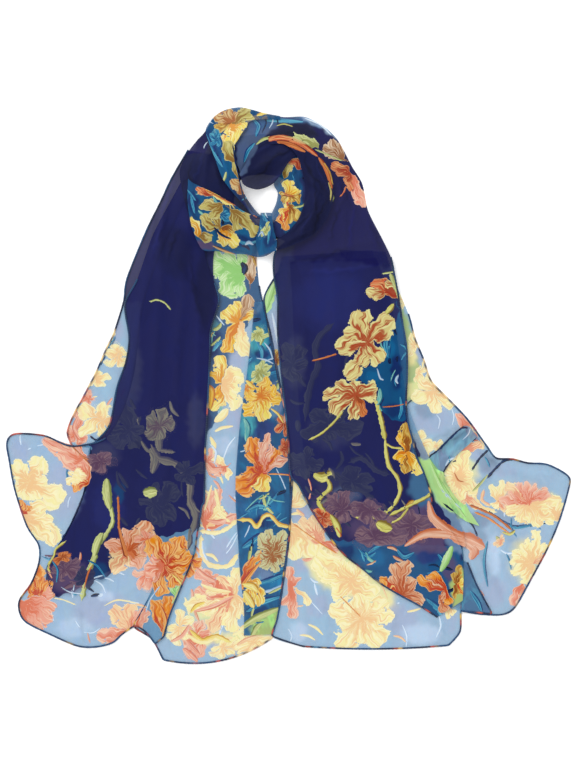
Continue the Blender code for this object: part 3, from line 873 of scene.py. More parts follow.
# A flower with petals of its own: its centre, then for each petal its tip, its width and its
# palette where that is another one, in plan units.
FLOWERS = [Flower(*row[:5], row[5:]) for row in rows_of("""
left_front:
cream 0 27 481 11,463,17 41,457,18 63,503,23 29,502,16 13,494,15
cream 1 23 516 47,505,14 53,522,13 57,545,19 20,500,13,orange 36,545,9
coral 0 89 464 43,438,17 56,452,12 66,440,10
orange 1 88 480 69,470,9,cream 66,480,8,cream 72,490,9 80,462,10,coral
orange 0 38 600 38,564,15 54,592,12,coral 22,606,12 50,578,11 30,580,9
coral 1 22 604 52,624,16 40,634,15 56,608,10 30,628,10
salmon 0 128 551 105,542,14 112,573,16,blush 130,529,15 148,520,15,brick 158,538,18,brick
 140,568,16
orange 1 166 566 150,538,17 182,536,17 194,556,16 184,586,15 160,596,16 144,572,14,coral
blush 0 132 634 110,608,19 128,604,17 146,608,14,coral 118,628,10
coral 1 130 634 96,636,13 104,648,12 120,646,10
orange 0 166 634 154,600,13 170,596,14 180,612,12,ember 178,632,11
leaf 0 178 600 184,574,9 174,578,7
middle_fall:
leaf 0 243 272 203,248,18 222,296,22 206,268,15 240,252,9 240,296,13
cocoa 1 250 282 254,252,12 247,262,7
lemon 1 240 322 247,294,11,cocoa 224,308,15 258,312,12 249,356,15,cream 225,354,12,amber 236,300,9
amber 0 223 384 219,355,12,lemon 209,372,9 210,411,12,lemon 216,400,9
cream 1 224 384 244,376,18 236,411,15 240,392,12
cream 1 226 466 214,456,7 228,480,6 212,472,9,coral
coral 0 207 528 216,488,14 203,494,12 236,514,10 222,506,9,cream
blush 1 234 595 196,570,15,coral 184,606,14,cream 210,632,16 230,634,13,cream 240,568,10,cream
 216,578,10 194,590,11,coral 248,616,9,cream
middle_fold:
amber 0 261 397 267,377,13 281,402,13 242,410,16 266,420,17,lemon 246,392,10 276,386,9
orange 0 263 472 253,437,19 270,432,9,coral 278,447,11 288,459,8,coral 237,492,25 262,492,12,lemon
 246,452,11
ivory 1 273 555 258,536,12 269,528,10 282,530,11 292,542,10 290,560,10 277,572,11 262,570,10
 255,553,9
lemon 0 251 582 259,606,13 244,604,10 260,586,9
orange 1 241 582 262,552,8
right_bottom:
cream 1 361 619 330,606,21 354,596,17 387,600,18 394,615,16 381,647,21 337,648,23
cream 0 352 582 314,556,24 330,592,20 366,562,14 376,598,20 322,574,16 344,560,14
cream 0 290 524 316,556,20 298,560,16
blush 1 322 542 298,519,13 312,516,10 324,524,9 340,552,7,coral 308,534,9
coral 0 291 588 289,566,9 284,606,8 294,620,9 300,578,6
cream 1 296 590 310,606,8
cream 1 292 504 296,478,12 306,500,9
right_wing:
coral 0 476 440 458,412,10 470,426,8,blush
blush 1 462 450 486,440,8
cream 1 457 478 468,449,15 444,468,13 444,484,13 462,500,16 478,490,13 474,474,9 452,494,12
blush 0 466 494 480,508,9 460,504,8
cream 0 498 500 490,484,8 502,480,9 494,510,9 506,512,9,blush
blush 1 528 504 508,482,12 518,480,8,coral 528,482,8,coral 538,484,8,coral 550,490,9,coral
 562,500,12,cream 556,520,12,cream 538,528,14,cream 520,524,12,cream 504,514,10,cream
 500,498,9,coral
cream 1 562 520 540,504,14 560,500,10
cream 1 532 564 538,530,10 528,538,7 546,544,8 512,550,9 508,562,9 512,576,9 524,586,9 520,544,7
 544,558,6,blush
blush 0 522 586 514,606,11,coral 526,602,9
right_front:
showy 1 366 342 361,309,19 394,320,19 382,362,17 360,367,11 343,378,14 336,350,18 343,331,12
showy 1 356 394 378,388,18 366,415,10,ember 351,420,12 330,413,16 321,397,10 334,384,12 352,380,11
showy 1 398 296 371,283,12,scarlet 384,284,9
showy 1 384 291 365,292,9 373,302,8
gold 0 407 451 405,423,12 396,434,9,amber 421,474,13,lemon 408,474,10 395,462,9,amber
brick 1 402 594 394,562,15 406,560,15 392,574,12 416,580,12 424,604,14 414,606,10 378,580,9,orange
orange 1 444 588 416,575,8 426,580,7,brick 430,572,7 450,606,8 438,604,6,brick
brick 1 440 596 448,616,8 441,614,6
orange 1 456 584 462,566,7,gold 452,572,5,gold 464,580,6,lemon 462,594,6 454,600,5,gold
scarlet 1 350 172 330,164,9 352,190,9 336,172,6
coral 1 352 176 366,206,11 360,190,9 356,200,7
cocoa 1 344 158 322,150,11 330,140,10 340,142,9 328,158,7
moss 1 316 148 293,135,7 303,134,8 312,137,7 302,143,6
crown:
gold 0 232 124 214,114,14,peachy 226,110,10,peachy 252,112,12,olive 234,146,14,lemon
 248,128,11,lemon 216,130,10 242,138,10,lemon
olive 1 236 166 225,143,10
olive 1 238 180 234,164,7
peachy 1 243 194 233,182,10
inner_fold:
scarlet 1 300 168 289,160,8
olive 0 284 178 291,165,9
lemon 0 290 196 287,181,10 300,190,9 280,200,9,gold 300,202,8,gold 284,210,8
orange 1 288 206 298,222,9,gold 285,232,10 280,216,7,lemon
cross_band:
scarlet 1 210 197 199,189,8
lemon 0 206 192 232,206,9
olive 1 222 206 200,208,9 212,222,8
olive 1 234 212 258,236,14 256,222,10 240,232,9
olive 0 222 231 202,217,10 210,214,8 238,246,12,lemon 226,248,10,lemon 236,232,9,gold
olive 1 200 236 190,219,8,lemon 214,241,7
""")]
BOLD = ("showy", "scarlet", "brick", "olive", "peachy", "moss", "cocoa")

Strokes = namedtuple("Strokes", "sheets palettes count x0 y0 x1 y1 way length width")
# Small loose brush strokes strewn over a box: their palettes in turn, how many, the box's corners,
# their direction in degrees, their length in plan units and their width in mm.
STROKES = [Strokes(*row) for row in rows_of("""
middle_fold:
sea+aquatic+ink+sea+moss 34 242 300 290 636 -35 15 3.6
middle_fall:
cream+foam+coral+cream+salmon 34 186 470 242 650 60 15 2.8
sea+moss+aquatic+ink 14 198 280 232 410 -60 12 3
right_front:
sea+aquatic+ink+sea+brick 26 330 546 462 606 20 15 3.4
sea+ink+aquatic 12 380 320 406 416 80 12 3
ghost+faded+ghost 22 300 440 410 540 30 18 4
ghost 8 290 330 350 440 70 18 5
left_front:
ghost+faded+ghost 20 116 400 200 540 70 18 4
foam+salmon+foam+sea 16 30 430 90 640 70 12 2.2
foam+blush+foam 12 90 570 190 640 10 14 2.2
rosewood+sea+ink+rosewood 12 48 552 96 598 10 12 3.6
left_corner:
foam+coral+cream 8 76 320 124 430 -60 10 2.6
right_bottom:
foam+cream+blush+foam 18 290 560 456 640 30 14 2.2
cream+blush+coral 10 290 500 340 580 40 12 3.6
right_wing:
foam+sea+foam+blush 18 420 400 560 600 60 16 2.2
crown:
sea+aquatic+ink+moss 14 206 112 262 200 75 10 2.6
cross_band:
sea+aquatic+ink+olive+ghost 20 192 196 266 252 40 12 2.8
inner_fold:
sea+ink+moss 6 280 160 306 236 80 8 2.4
pinch:
sea+aquatic+foam 6 260 214 276 250 80 8 2.2
wing_fold right_corner:
sea+foam 8 430 430 500 610 -40 12 2.4
""")]


def tips_of(flower):
    """A flower's petals, and a shorter one between each two that are near each other."""
    def way(tip):
        return math.atan2(tip[1] - flower.y, tip[0] - flower.x)

    tips = sorted(flower.tips, key=way)
    rows = [(x, y, width * PETAL_WIDER, *other) for x, y, width, *other in tips]
    for one, next_one in zip(tips, tips[1:] + tips[:1]):
        apart = (way(next_one) - way(one)) % (2 * math.pi)
        if (len(tips) > 2 and BETWEEN_LEAST < apart < BETWEEN_MOST
                and flower.palette not in BOLD):
            x, y = (one[0] + next_one[0]) / 2, (one[1] + next_one[1]) / 2
            rows.append((
                flower.x + (x - flower.x) * BETWEEN_OUT, flower.y + (y - flower.y) * BETWEEN_OUT,
                (one[2] + next_one[2]) * BETWEEN_WIDTH, *(one[3:] or next_one[3:]),
            ))
    return rows


def petals_of(flower):
    """A flower's petals as strokes from its centre to their tips."""
    petals = []
    for x, y, width, *other in tips_of(flower):
        bend = PETAL_BEND * math.sin(x + y)
        middle = ((flower.x + x) / 2 - bend * (y - flower.y),
                  (flower.y + y) / 2 + bend * (x - flower.x))
        petals.append(Twig(
            flower.sheets, other[0] if other else flower.palette, width * PLAN_MM, "petal",
            flower.over, [(flower.x, flower.y), middle, (x, y)],
        ))
    return petals


def strewn(kinds):
    """Loose strokes drawn at random in their boxes, the same ones each time."""
    dice = np.random.default_rng(41)
    twigs = []
    for kind in kinds:
        names = kind.palettes.split("+")
        for number in range(int(kind.count)):
            x, y = dice.uniform(kind.x0, kind.x1), dice.uniform(kind.y0, kind.y1)
            way = math.radians(kind.way) + dice.normal(0, 0.4)
            half = kind.length * dice.uniform(0.3, 0.7)
            bend = dice.uniform(-0.35, 0.35) * half
            c, s = math.cos(way), math.sin(way)
            points = [(x - c * half, y - s * half), (x - bend * s, y + bend * c),
                      (x + c * half, y + s * half)]
            twigs.append(Twig(kind.sheets, names[number % len(names)],
                              kind.width * dice.uniform(0.6, 1.5), "leaf", 0, points))
    return twigs


TWIGS += [petal for flower in FLOWERS for petal in petals_of(flower)]
TWIGS += strewn(STROKES)

# ---------------------------------------------------------------- the pieces' tables

# The windings hidden in the ring: one row per direction from the eye, anticlockwise from +X.
EYE_X, EYE_Y = -32.5, 230.0      # mm
Core = namedtuple("Core", "inner outer height")
CORE = [
    Core(32, 72, 14), Core(36, 92, 13), Core(30, 82, 13), Core(36, 88, 12),
    Core(34, 84, 13), Core(32, 68, 13), Core(30, 48, 9), Core(31, 56, 12),
]

HEM_DARK, HEM_BLUE = (14, 28, 58), (20, 62, 102)
HEM_BITS = [(196, 84, 60), (224, 178, 70), (70, 130, 160), (150, 60, 40)]
HEM_BITS_BELOW = -20             # mm in y, the print's bright colours are on the hems below it

Piece = namedtuple("Piece", "slot ground cell rests_on hems", defaults=((),))
# A hem is a list of legs: a side or end of the sheet, and from which section to which.
PIECES = {
    "middle_fall": Piece("pale_chiffon", "sky", TAIL_CELL, "floor", [
        [("left", 4, 14), ("end", 0, 1), ("right", 14, 2)]]),
    "middle_fold": Piece("teal_chiffon", "teal", TAIL_CELL, "middle_fall", [[("right", 0, 9)]]),
    "left_corner": Piece("pale_chiffon", "sheer_navy", TAIL_CELL, "floor", [
        [("left", 0, 12), ("end", 0, 1)]]),
    "left_under": Piece("navy_chiffon", "navy", TAIL_CELL, "left_corner", [[("left", 3, 15)]]),
    "left_front": Piece("navy_chiffon", "navy", TAIL_CELL, "left_under", [
        [("left", 8, 29), ("end", 0, 1), ("right", 29, 3)]]),
    "right_bottom": Piece("pale_chiffon", "sky", TAIL_CELL, "floor", [
        [("left", 1, 13), ("end", 0, 1), ("right", 14, 9)]]),
    "right_wing": Piece("pale_chiffon", "sky", TAIL_CELL, "floor", [[("right", 2, 22)]]),
    "right_corner": Piece("teal_chiffon", "slate", TAIL_CELL, "right_wing", [
        [("right", 0, 2), ("end", 1, 0)]]),
    "wing_fold": Piece("teal_chiffon", "haze", RING_CELL, "right_wing"),
    "wing_pleat": Piece("flowered_chiffon", "leafy", RING_CELL, "right_wing"),
    "right_inner": Piece("navy_chiffon", "navy", TAIL_CELL, "right_bottom"),
    "right_front": Piece("navy_chiffon", "navy", TAIL_CELL, "right_inner", [
        [("left", 12, 29)], [("right", 12, 24)]]),
    "left_shoulder": Piece("navy_chiffon", "night", RING_CELL, "ring_core"),
    "crown": Piece("flowered_chiffon", "teal", RING_CELL, "ring_core"),
    "inner_fold": Piece("flowered_chiffon", "teal", RING_CELL, "ring_core"),
    "inner_roll": Piece("navy_chiffon", "night", RING_CELL, "ring_core"),
    "right_wind": Piece("navy_chiffon", "night", RING_CELL, "right_front"),
    "cross_band": Piece("flowered_chiffon", "teal", RING_CELL, "left_shoulder"),
    "pinch": Piece("teal_chiffon", "teal", RING_CELL, "cross_band"),
}
BASE = {name: piece.ground for name, piece in PIECES.items()}
BASE["ring_core"] = "deep"

Look = namedtuple("Look", "slant cool cool_tone warm warm_tone depth depth_tone relief "
                          "roughness gloss sheen")
LOOKS = {
    "navy_chiffon": Look(
        0.2, 0.35, (0.75, 0.95, 1.2, 1), 0.30, (1.25, 1.0, 1.0, 1), 0.35, (0.72, 0.72, 0.80, 1),
        0.20, 0.65, 0.12, 0.04),
    "pale_chiffon": Look(
        0.1, 0.80, (0.82, 1.05, 1.05, 1), 0.70, (1.09, 0.94, 0.97, 1), 0.55, (0.82, 0.86, 0.92, 1),
        0.15, 0.60, 0.20, 0.06),
    "teal_chiffon": Look(
        0.3, 0.85, (1.20, 1.80, 1.45, 1), 0.60, (1.80, 1.05, 1.15, 1), 0.70, (0.45, 0.50, 0.66, 1),
        0.20, 0.60, 0.20, 0.08),
    "flowered_chiffon": Look(
        0.5, 0.80, (1.10, 1.50, 1.30, 1), 0.50, (1.50, 1.00, 1.05, 1), 0.65, (0.50, 0.52, 0.68, 1),
        0.20, 0.60, 0.20, 0.08),
}
TONE_STARTS, TONE_WIDTH = (0.46, 0.48, 0.50), 0.17   # where the three tones start in their noise

# A stretch's sections across it, lowest first: left x, left y, right x, right y and how far its
# middle bows onward, in mm.
SECTIONS = {row[0]: row[1:] for row in rows_of("""
middle_fall:
-99,193,-32,188 -109,168,-39,166 -137,131,-36,124 -169,88,-30,94 -184,44,-20,47 -181,-8,-10,-5
 -175,-45,-3,-43 -171,-92,2,-90 -163,-142,3,-136 -161,-198,1,-186 -166,-247,-5,-235
 -184,-284,-10,-272 -191,-299,-15,-293 -169,-314,-18,-306,11 -155,-340,-20,-313,15
middle_fold:
-42,104,-30,104 -45,68,-24,68 -51,17,-14,17 -56,-20,-6,-23 -60,-49,-1,-53 -65,-110,2,-110
 -65,-148,3,-148 -62,-195,0,-191 -60,-229,-5,-229 -55,-276,-10,-266 -55,-310,-18,-308
left_corner:
-124,292,-80,282 -145,256,-92,248 -158,228,-102,218 -178,187,-114,176 -200,132,-129,125
 -204,104,-139,99 -216,65,-149,64 -225,47,-156,44 -238,17,-164,14 -253,-12,-171,-18
 -266,-36,-181,-43 -274,-58,-191,-60 -268,-75,-211,-77
left_under:
-117,280,-65,265 -147,226,-75,212 -168,186,-92,163 -187,132,-92,119 -202,101,-90,91 -197,59,-98,57
 -201,29,-99,24 -212,-2,-101,-8 -222,-50,-103,-48 -245,-77,-103,-77 -247,-100,-104,-102
 -256,-144,-106,-129 -276,-184,-107,-148 -297,-220,-108,-160 -299,-236,-109,-168
 -290,-263,-109,-175
left_front:
-109,274,-62,267 -129,226,-77,213 -150,181,-103,168 -170,131,-91,127 -180,94,-86,104
 -185,57,-96,69 -191,13,-97,40 -204,-30,-99,-5 -226,-65,-101,-45 -268,-75,-103,-85
 -303,-62,-104,-143 -340,-60,-106,-146 -349,-71,-107,-150 -346,-92,-108,-154 -339,-129,-108,-158
 -324,-174,-109,-162 -309,-198,-110,-167 -309,-220,-110,-170 -319,-246,-111,-174
 -334,-268,-112,-179 -328,-291,-113,-186 -294,-309,-114,-193 -261,-323,-115,-201
 -238,-324,-117,-209 -218,-319,-119,-215 -208,-310,-123,-226 -200,-304,-132,-248
 -189,-298,-141,-270 -176,-306,-148,-288 -165,-320,-154,-311
right_bottom:
-8,160,104,168 -14,139,112,146 -30,107,120,118 -21,60,129,70 -12,12,136,22 -4,-32,141,-24
 3,-74,149,-67 5,-117,163,-105 3,-154,188,-142 1,-191,211,-179 -4,-229,217,-219 -9,-263,216,-253
 -14,-291,214,-281 -19,-312,213,-305,7 16,-323,199,-322,4
right_wing:
64,168,121,166 70,131,134,126 79,91,149,89 87,57,157,59 94,22,168,32 101,-12,177,6 109,-40,199,-17
 116,-65,220,-39 124,-86,235,-59 130,-102,247,-76 136,-117,258,-90 141,-129,278,-91
 146,-142,297,-96 150,-154,322,-98 154,-167,348,-113 158,-182,347,-131 163,-198,336,-168
 170,-214,321,-203 176,-231,300,-242 183,-248,281,-275 188,-263,265,-284 193,-272,235,-283
 198,-276,214,-279
right_corner:
217,-217,222,-219 216,-247,234,-248 214,-279,253,-283
wing_fold:
175,-90,191,-111 188,-76,203,-93 203,-61,217,-79 217,-50,233,-67 225,-51,243,-75
wing_pleat:
168,-97,192,-107 176,-117,197,-122 189,-141,208,-139 206,-157,223,-154 220,-168,237,-174
right_inner:
2,153,109,158 5,106,124,116 7,57,134,66 11,7,141,17 15,-43,151,-33 20,-86,168,-75 27,-129,188,-117
 42,-160,203,-152 59,-179,216,-179 72,-193,220,-200
right_front:
-56,255,-70,290 -51,272,-65,317 -42,287,-50,341 -32,296,-30,338 -16,297,-6,333 2,292,21,333
 17,282,43,322 27,270,61,305 33,252,79,272 33,235,92,250 25,215,99,217 10,190,116,183
 -15,167,127,159 -18,141,131,140 -13,106,135,119 -13,66,141,81 -10,29,147,42 -5,-18,147,7
 0,-64,146,-24 3,-110,149,-49 13,-123,154,-67 26,-149,158,-87 39,-170,167,-106 52,-189,176,-132
 70,-210,178,-148 92,-227,186,-164 114,-245,199,-177 139,-260,214,-201 163,-273,217,-235
 185,-287,216,-266
left_shoulder:
-93,332,-82,327 -104,314,-82,305 -114,303,-75,280 -128,282,-67,252 -134,265,-60,235
 -132,248,-52,223 -127,225,-45,210 -119,198,-37,198
crown:
-42,205,-28,207 -51,218,-37,213 -66,235,-49,228 -75,246,-56,241 -82,257,-61,260 -90,279,-65,279
 -98,300,-66,296 -102,317,-62,303 -92,333,-57,312 -78,342,-52,318 -60,345,-49,326 -45,342,-41,329
 -28,337,-28,330 -10,334,-10,329
inner_fold:
1,282,15,282 -9,264,22,265 -18,250,28,248 -13,239,31,233 -15,226,28,218 -20,214,20,203
 -21,204,10,190 -18,186,0,176
inner_roll:
-60,260,-56,248 -52,274,-50,244 -42,287,-39,242 -30,297,-28,245 -16,301,-18,250 -3,300,-9,260
 10,293,0,274 18,285,8,282
right_wind:
-23,297,-25,307 -8,298,-6,309 3,292,11,304 12,280,26,295 17,265,39,282 20,250,52,264 21,235,56,243
 18,219,54,223 11,203,46,203 -1,189,31,186 -13,181,8,174 -20,177,-13,167
cross_band:
-123,254,-124,230 -117,249,-122,212 -107,244,-117,190 -94,238,-106,168 -81,231,-87,166
 -67,223,-70,163 -55,215,-52,162 -42,210,-37,159 -30,210,-26,161 -21,209,-16,167
pinch:
-34,213,-20,213 -36,195,-18,193 -40,177,-14,177 -36,160,-15,166
""")}


# ---------------------------------------------------------------- the cloth's form

def plan(points):
    """Plan units to metres."""
    points = np.asarray(points, float)
    flat = np.stack([points[..., 0] - PLAN_X, PLAN_Y - points[..., 1]], -1)
    return flat * PLAN_MM * MM


def rounded(points, at):
    """Places on the smooth line through a sheet's side points, counted in points."""
    last = len(points) - 1
    i = np.minimum(at.astype(int), last - 1)
    t = (at - i)[:, None]
    p, q = points[i], points[i + 1]
    before, after = points[np.maximum(i - 1, 0)], points[np.minimum(i + 2, last)]
    leave, arrive = (q - before) * SIDE_TENSION, (after - p) * SIDE_TENSION
    return (
        p * (2 * t**3 - 3 * t**2 + 1) + leave * (t**3 - 2 * t**2 + t)
        + q * (3 * t**2 - 2 * t**3) + arrive * (t**3 - t**2)
    )


def sides_of(rows):
    """A stretch's left side, right side and bows, in mm, from its sections."""
    table = np.array([row + (0,) * (5 - len(row)) for row in rows], float)
    return table[:, 0:2], table[:, 2:4], table[:, 4]


def grid_places(rows, cell):
    """A sheet's fine grid seen from above, in metres, as an array along x across x 2."""
    left, right, bow = sides_of(rows)
    across_cells = int(np.ceil(np.linalg.norm(right - left, axis=1).max() / cell))
    at = [0.0]
    for i in range(len(rows) - 1):
        run = (np.linalg.norm(left[i + 1] - left[i]) + np.linalg.norm(right[i + 1] - right[i])) / 2
        steps = max(2, round(run / cell))
        at += [i + (k + 1) / steps for k in range(steps)]
    at = np.array(at)
    start, end = rounded(left, at), rounded(right, at)
    across = np.linspace(0, 1, across_cells + 1)
    chord = end - start
    onward = np.stack([chord[:, 1], -chord[:, 0]], 1)
    onward /= np.linalg.norm(onward, axis=1)[:, None]
    bows = np.interp(at, np.arange(len(rows)), bow)
    flat = start[:, None] + chord[:, None] * across[None, :, None]
    flat += onward[:, None] * (bows[:, None] * 4 * across * (1 - across))[..., None]
    return flat * MM, at


def heights_on(tree, flat, otherwise=np.nan):
    """The highest point of a surface over each place, or `otherwise` where it isn't below."""
    found = np.full(len(flat), otherwise)
    for i, (x, y) in enumerate(flat):
        hit = tree.ray_cast(Vector((x, y, SKY)), Vector((0, 0, -1)))[0]
        if hit is not None:
            found[i] = hit.z
    return found


def smoothed(z, passes):
    """A grid of heights, evened out."""
    for _ in range(passes):
        wide = np.pad(z, 1, mode="edge")
        z = (
            4 * wide[1:-1, 1:-1]
            + 2 * (wide[:-2, 1:-1] + wide[2:, 1:-1] + wide[1:-1, :-2] + wide[1:-1, 2:])
            + wide[:-2, :-2] + wide[:-2, 2:] + wide[2:, :-2] + wide[2:, 2:]
        ) / 16
    return z


def crease_height(crease, flat):
    """How far one crease lifts the cloth, in metres, at each place."""
    start, end = plan((crease.x0, crease.y0)), plan((crease.x1, crease.y1))
    length = np.linalg.norm(end - start)
    way = (end - start) / length
    out = flat - start
    share = np.clip(out @ way / length, 0, 1)
    bend = crease.sway * MM * np.sin(np.pi * share)
    reach = (out @ np.array([-way[1], way[0]]) - bend) / (crease.width * MM)
    return crease.height * MM * np.exp(-reach * reach) * np.sqrt(np.sin(np.pi * share))


def swell(flat, seed):
    """The cloth's slow uneven rise and fall, between -1 and 1."""
    x, y = flat[..., 0] / MM, flat[..., 1] / MM
    total = 0
    for k in range(SWELL_WAVES):
        turn = seed * 1.7 + k * 2.4
        wave = SWELL_LENGTH + SWELL_STEP * k
        total = total + np.sin(
            (x * math.cos(turn) + y * math.sin(turn)) / wave * 2 * math.pi + seed * 3 + k * k
        )
    return total / SWELL_WAVES


def lay(name, cell, solid, below):
    """One sheet's points: its solid's form evened out, with its creases, clear of what is below."""
    flat, at = grid_places(SECTIONS[name], cell)
    shape = flat.shape[:2]
    places = flat.reshape(-1, 2)
    top = heights_on(solid, places)
    for i in np.flatnonzero(np.isnan(top)):
        top[i] = solid.find_nearest(Vector((*places[i], BESIDE_Z)))[0].z
    z = smoothed((top - SOLID_WALL * MM / 2).reshape(shape), SMOOTHING[cell])
    z = z + UNEVEN[cell] * MM * swell(flat, len(name))
    for crease in on(name, CREASES):
        z = z + crease_height(crease, places).reshape(shape)
    floor = np.full(len(places), LEAST_Z * MM)
    low, high = places.min(0), places.max(0)
    for other_low, other_high, tree in below:
        if (other_low < high).all() and (low < other_high).all():
            floor = np.fmax(floor, heights_on(tree, places, -1.0) + LAYER_GAP * MM)
    floor = floor.reshape(shape)
    z = np.maximum(z, floor)
    z = np.maximum(smoothed(z, 2), floor)
    return np.concatenate([flat, z[..., None]], -1), at


def sheet_faces(shape):
    """The quads of a grid of points."""
    along, across = shape
    j, i = np.meshgrid(np.arange(along - 1), np.arange(across - 1), indexing="ij")
    first = (j * across + i).reshape(-1)
    return np.stack([first, first + 1, first + across + 1, first + across], 1)


def tube_faces(stations, sides, closed):
    """The quads round a tube, whose last station joins the first one where it is closed."""
    last = stations if closed else stations - 1
    k, s = np.meshgrid(np.arange(last), np.arange(sides), indexing="ij")
    here, there, beside = k * sides, (k + 1) % stations * sides, (s + 1) % sides
    return np.stack([here + s, there + s, there + beside, here + beside], -1).reshape(-1, 4)


def facing_up(points, faces):
    """The same faces, turned over where most of them look down."""
    a, b, c = (points[faces[:, k], :2] for k in (0, 1, 2))
    area = (b[:, 0] - a[:, 0]) * (c[:, 1] - a[:, 1]) - (b[:, 1] - a[:, 1]) * (c[:, 0] - a[:, 0])
    return faces if area.sum() > 0 else faces[:, ::-1]


def mesh_object(name, points, faces, material):
    """A smooth-shaded object with one material, linked into the scene."""
    mesh = bpy.data.meshes.new(name)
    mesh.from_pydata(points, [], faces)
    mesh.materials.append(material)
    mesh.shade_smooth()
    thing = bpy.data.objects.new(name, mesh)
    bpy.context.scene.collection.objects.link(thing)
    return thing


def store(mesh, name, kind, values):
    """Values at the mesh's face corners, for the materials."""
    layer = mesh.attributes.new(name, kind, "CORNER")
    layer.data.foreach_set("color" if kind == "FLOAT_COLOR" else "vector",
                           values.astype(np.float32).ravel())


# ---------------------------------------------------------------- the print's places

def linear(colour):
    """A colour of 0 to 255 as light."""
    c = np.asarray(colour, float) / 255
    return np.where(c <= 0.04045, c / 12.92, ((c + 0.055) / 1.055) ** 2.4)


def dye(kind, part="seen"):
    """The cloth's own colour and cover that look like a ground's or palette's part in place."""
    if kind.over == "floor":
        below = np.full(3, FLOOR_SHADE * (1 - kind.cover) + FLOOR_GLOW / LIGHT)
    else:
        below = linear(UNDER[kind.over]) / LIGHT
    seen = linear(getattr(kind, part)) / LIGHT
    own = (seen - (1 - kind.cover) * below) / kind.cover
    return np.append(np.clip(own, 0.001, 1.0), kind.cover)


def blend(a, b, share):
    """Two colours mixed, with that share of the second."""
    return a * (1 - share) + b * share


def inside(points, corners):
    """Signed distance from a closed outline, positive inside, in metres."""
    nearest = np.full(len(points), 1e9)
    odd = np.zeros(len(points), bool)
    for start, end in zip(corners, np.roll(corners, -1, 0)):
        way = end - start
        share = np.clip(((points - start) @ way) / max(way @ way, 1e-12), 0, 1)
        nearest = np.minimum(nearest, np.linalg.norm(points - start - share[:, None] * way, axis=1))
        crosses = (start[1] > points[:, 1]) != (end[1] > points[:, 1])
        step = way[1] if abs(way[1]) > 1e-12 else 1e-12
        odd ^= crosses & (points[:, 0] < start[0] + (points[:, 1] - start[1]) * way[0] / step)
    return np.where(odd, nearest, -nearest)


def eased(x):
    """A soft step from 0 to 1."""
    x = np.clip(x, 0, 1)
    return x * x * (3 - 2 * x)


def ground_of(name, cell, points):
    """The printed ground outside and inside the drawn edges, and the distance inside them. The
    ground also takes the painted shadows of some patches and painted shade and highlights along
    the creases.

    Each ground is rows of colour and cover; the distance is in metres.
    """
    outer = np.tile(dye(GROUNDS[BASE[name]]), (len(points), 1))
    inner = outer.copy()
    border = np.full(len(points), -1.0)
    for patch in on(name, PATCHES):
        colour = dye(GROUNDS[patch.ground])
        if len(patch.outline) == 1:
            x, y, *size = patch.outline[0]
            size = np.array(size) * PLAN_MM * MM
            away = np.linalg.norm((points - plan((x, y))) / size, axis=1)
            share = eased((SPOT_EDGE - away) / SPOT_BLUR)
        else:
            depth = inside(points, plan(patch.outline))
            if patch.soft < CRISP:
                border = np.maximum(border, depth)
                share = eased(depth / (DRAWN_RAMP * MM) + 1.5)[:, None]
                inner = blend(inner, colour, share)
                continue
            share = eased(depth / (patch.soft * MM) + 0.5)
        share = (share * patch.strength)[:, None]
        outer, inner = blend(outer, colour, share), blend(inner, colour, share)
    # Painted shade along the creases with a shade over 0, where the cloth is also made denser, and
    # a painted highlight along those under 0; both stronger in the ring.
    for crease in on(name, CREASES):
        crease_shade = np.clip(crease_height(crease, points) / (crease.height * MM), 0, 1) ** 2
        crease_shade = crease.shade * crease_shade * (RING_SHADE if cell == RING_CELL else 1)
        for ground in (outer, inner):
            ground[:, :3] *= (1 - crease_shade)[:, None]
            if crease.shade > 0:
                ground[:, 3] += (1 - ground[:, 3]) * CREASE_COVER * crease_shade
    return np.clip(outer, 0, 1), np.clip(inner, 0, 1), border


def motif_number(motif):
    """The palette's number with the motif's own seed in it, between 0 and 1."""
    x, y = (motif.x, motif.y) if isinstance(motif, Bloom) else motif.points[0]
    seed = (x * 0.37 + y * 0.73) % 1.0
    return (PALETTE_NAMES.index(motif.palette) + 0.1 + 0.8 * seed) / len(PALETTES)


def nowhere(corners):
    """Face corners' values where no motif is near."""
    values = np.full(corners.shape[:2] + (3,), FAR)
    values[..., 2] = NO_MOTIF
    return values


def turned(points, degrees):
    """Places turned clockwise about the origin."""
    c, s = math.cos(math.radians(degrees)), math.sin(math.radians(degrees))
    x, y = points[..., 0], points[..., 1]
    return np.stack([x * c + y * s, y * c - x * s], -1)


def local_place(bloom, points):
    """Places in a flower's own measure: its centre at 0, its petals' tips near 1."""
    out = (points - plan((bloom.x, bloom.y))) / (bloom.size * PLAN_MM * MM)
    out = turned(out, bloom.lean)
    out[..., 1] /= bloom.narrow
    return turned(out, bloom.turn)


def store_blooms(mesh, name, rows, corners, centres):
    """Writes, for each face corner, its place in the nearest flower and that flower's palette."""
    values = nowhere(corners)
    if rows:
        reach = np.stack([np.linalg.norm(local_place(b, centres), axis=1) for b in rows])
        chosen = np.where(reach.min(0) < BLOOM_REACH, reach.argmin(0), -1)
        for k, bloom in enumerate(rows):
            mine = chosen == k
            values[mine, :, :2] = local_place(bloom, corners[mine])
            values[mine, :, 2] = motif_number(bloom)
    store(mesh, name, "FLOAT_VECTOR", values)


def smooth_line(points, steps=10):
    """A stroke's middle line in short segments."""
    if len(points) < 3:
        return points
    at = np.linspace(0, len(points) - 1, steps * (len(points) - 1) + 1)
    return rounded(points, at)


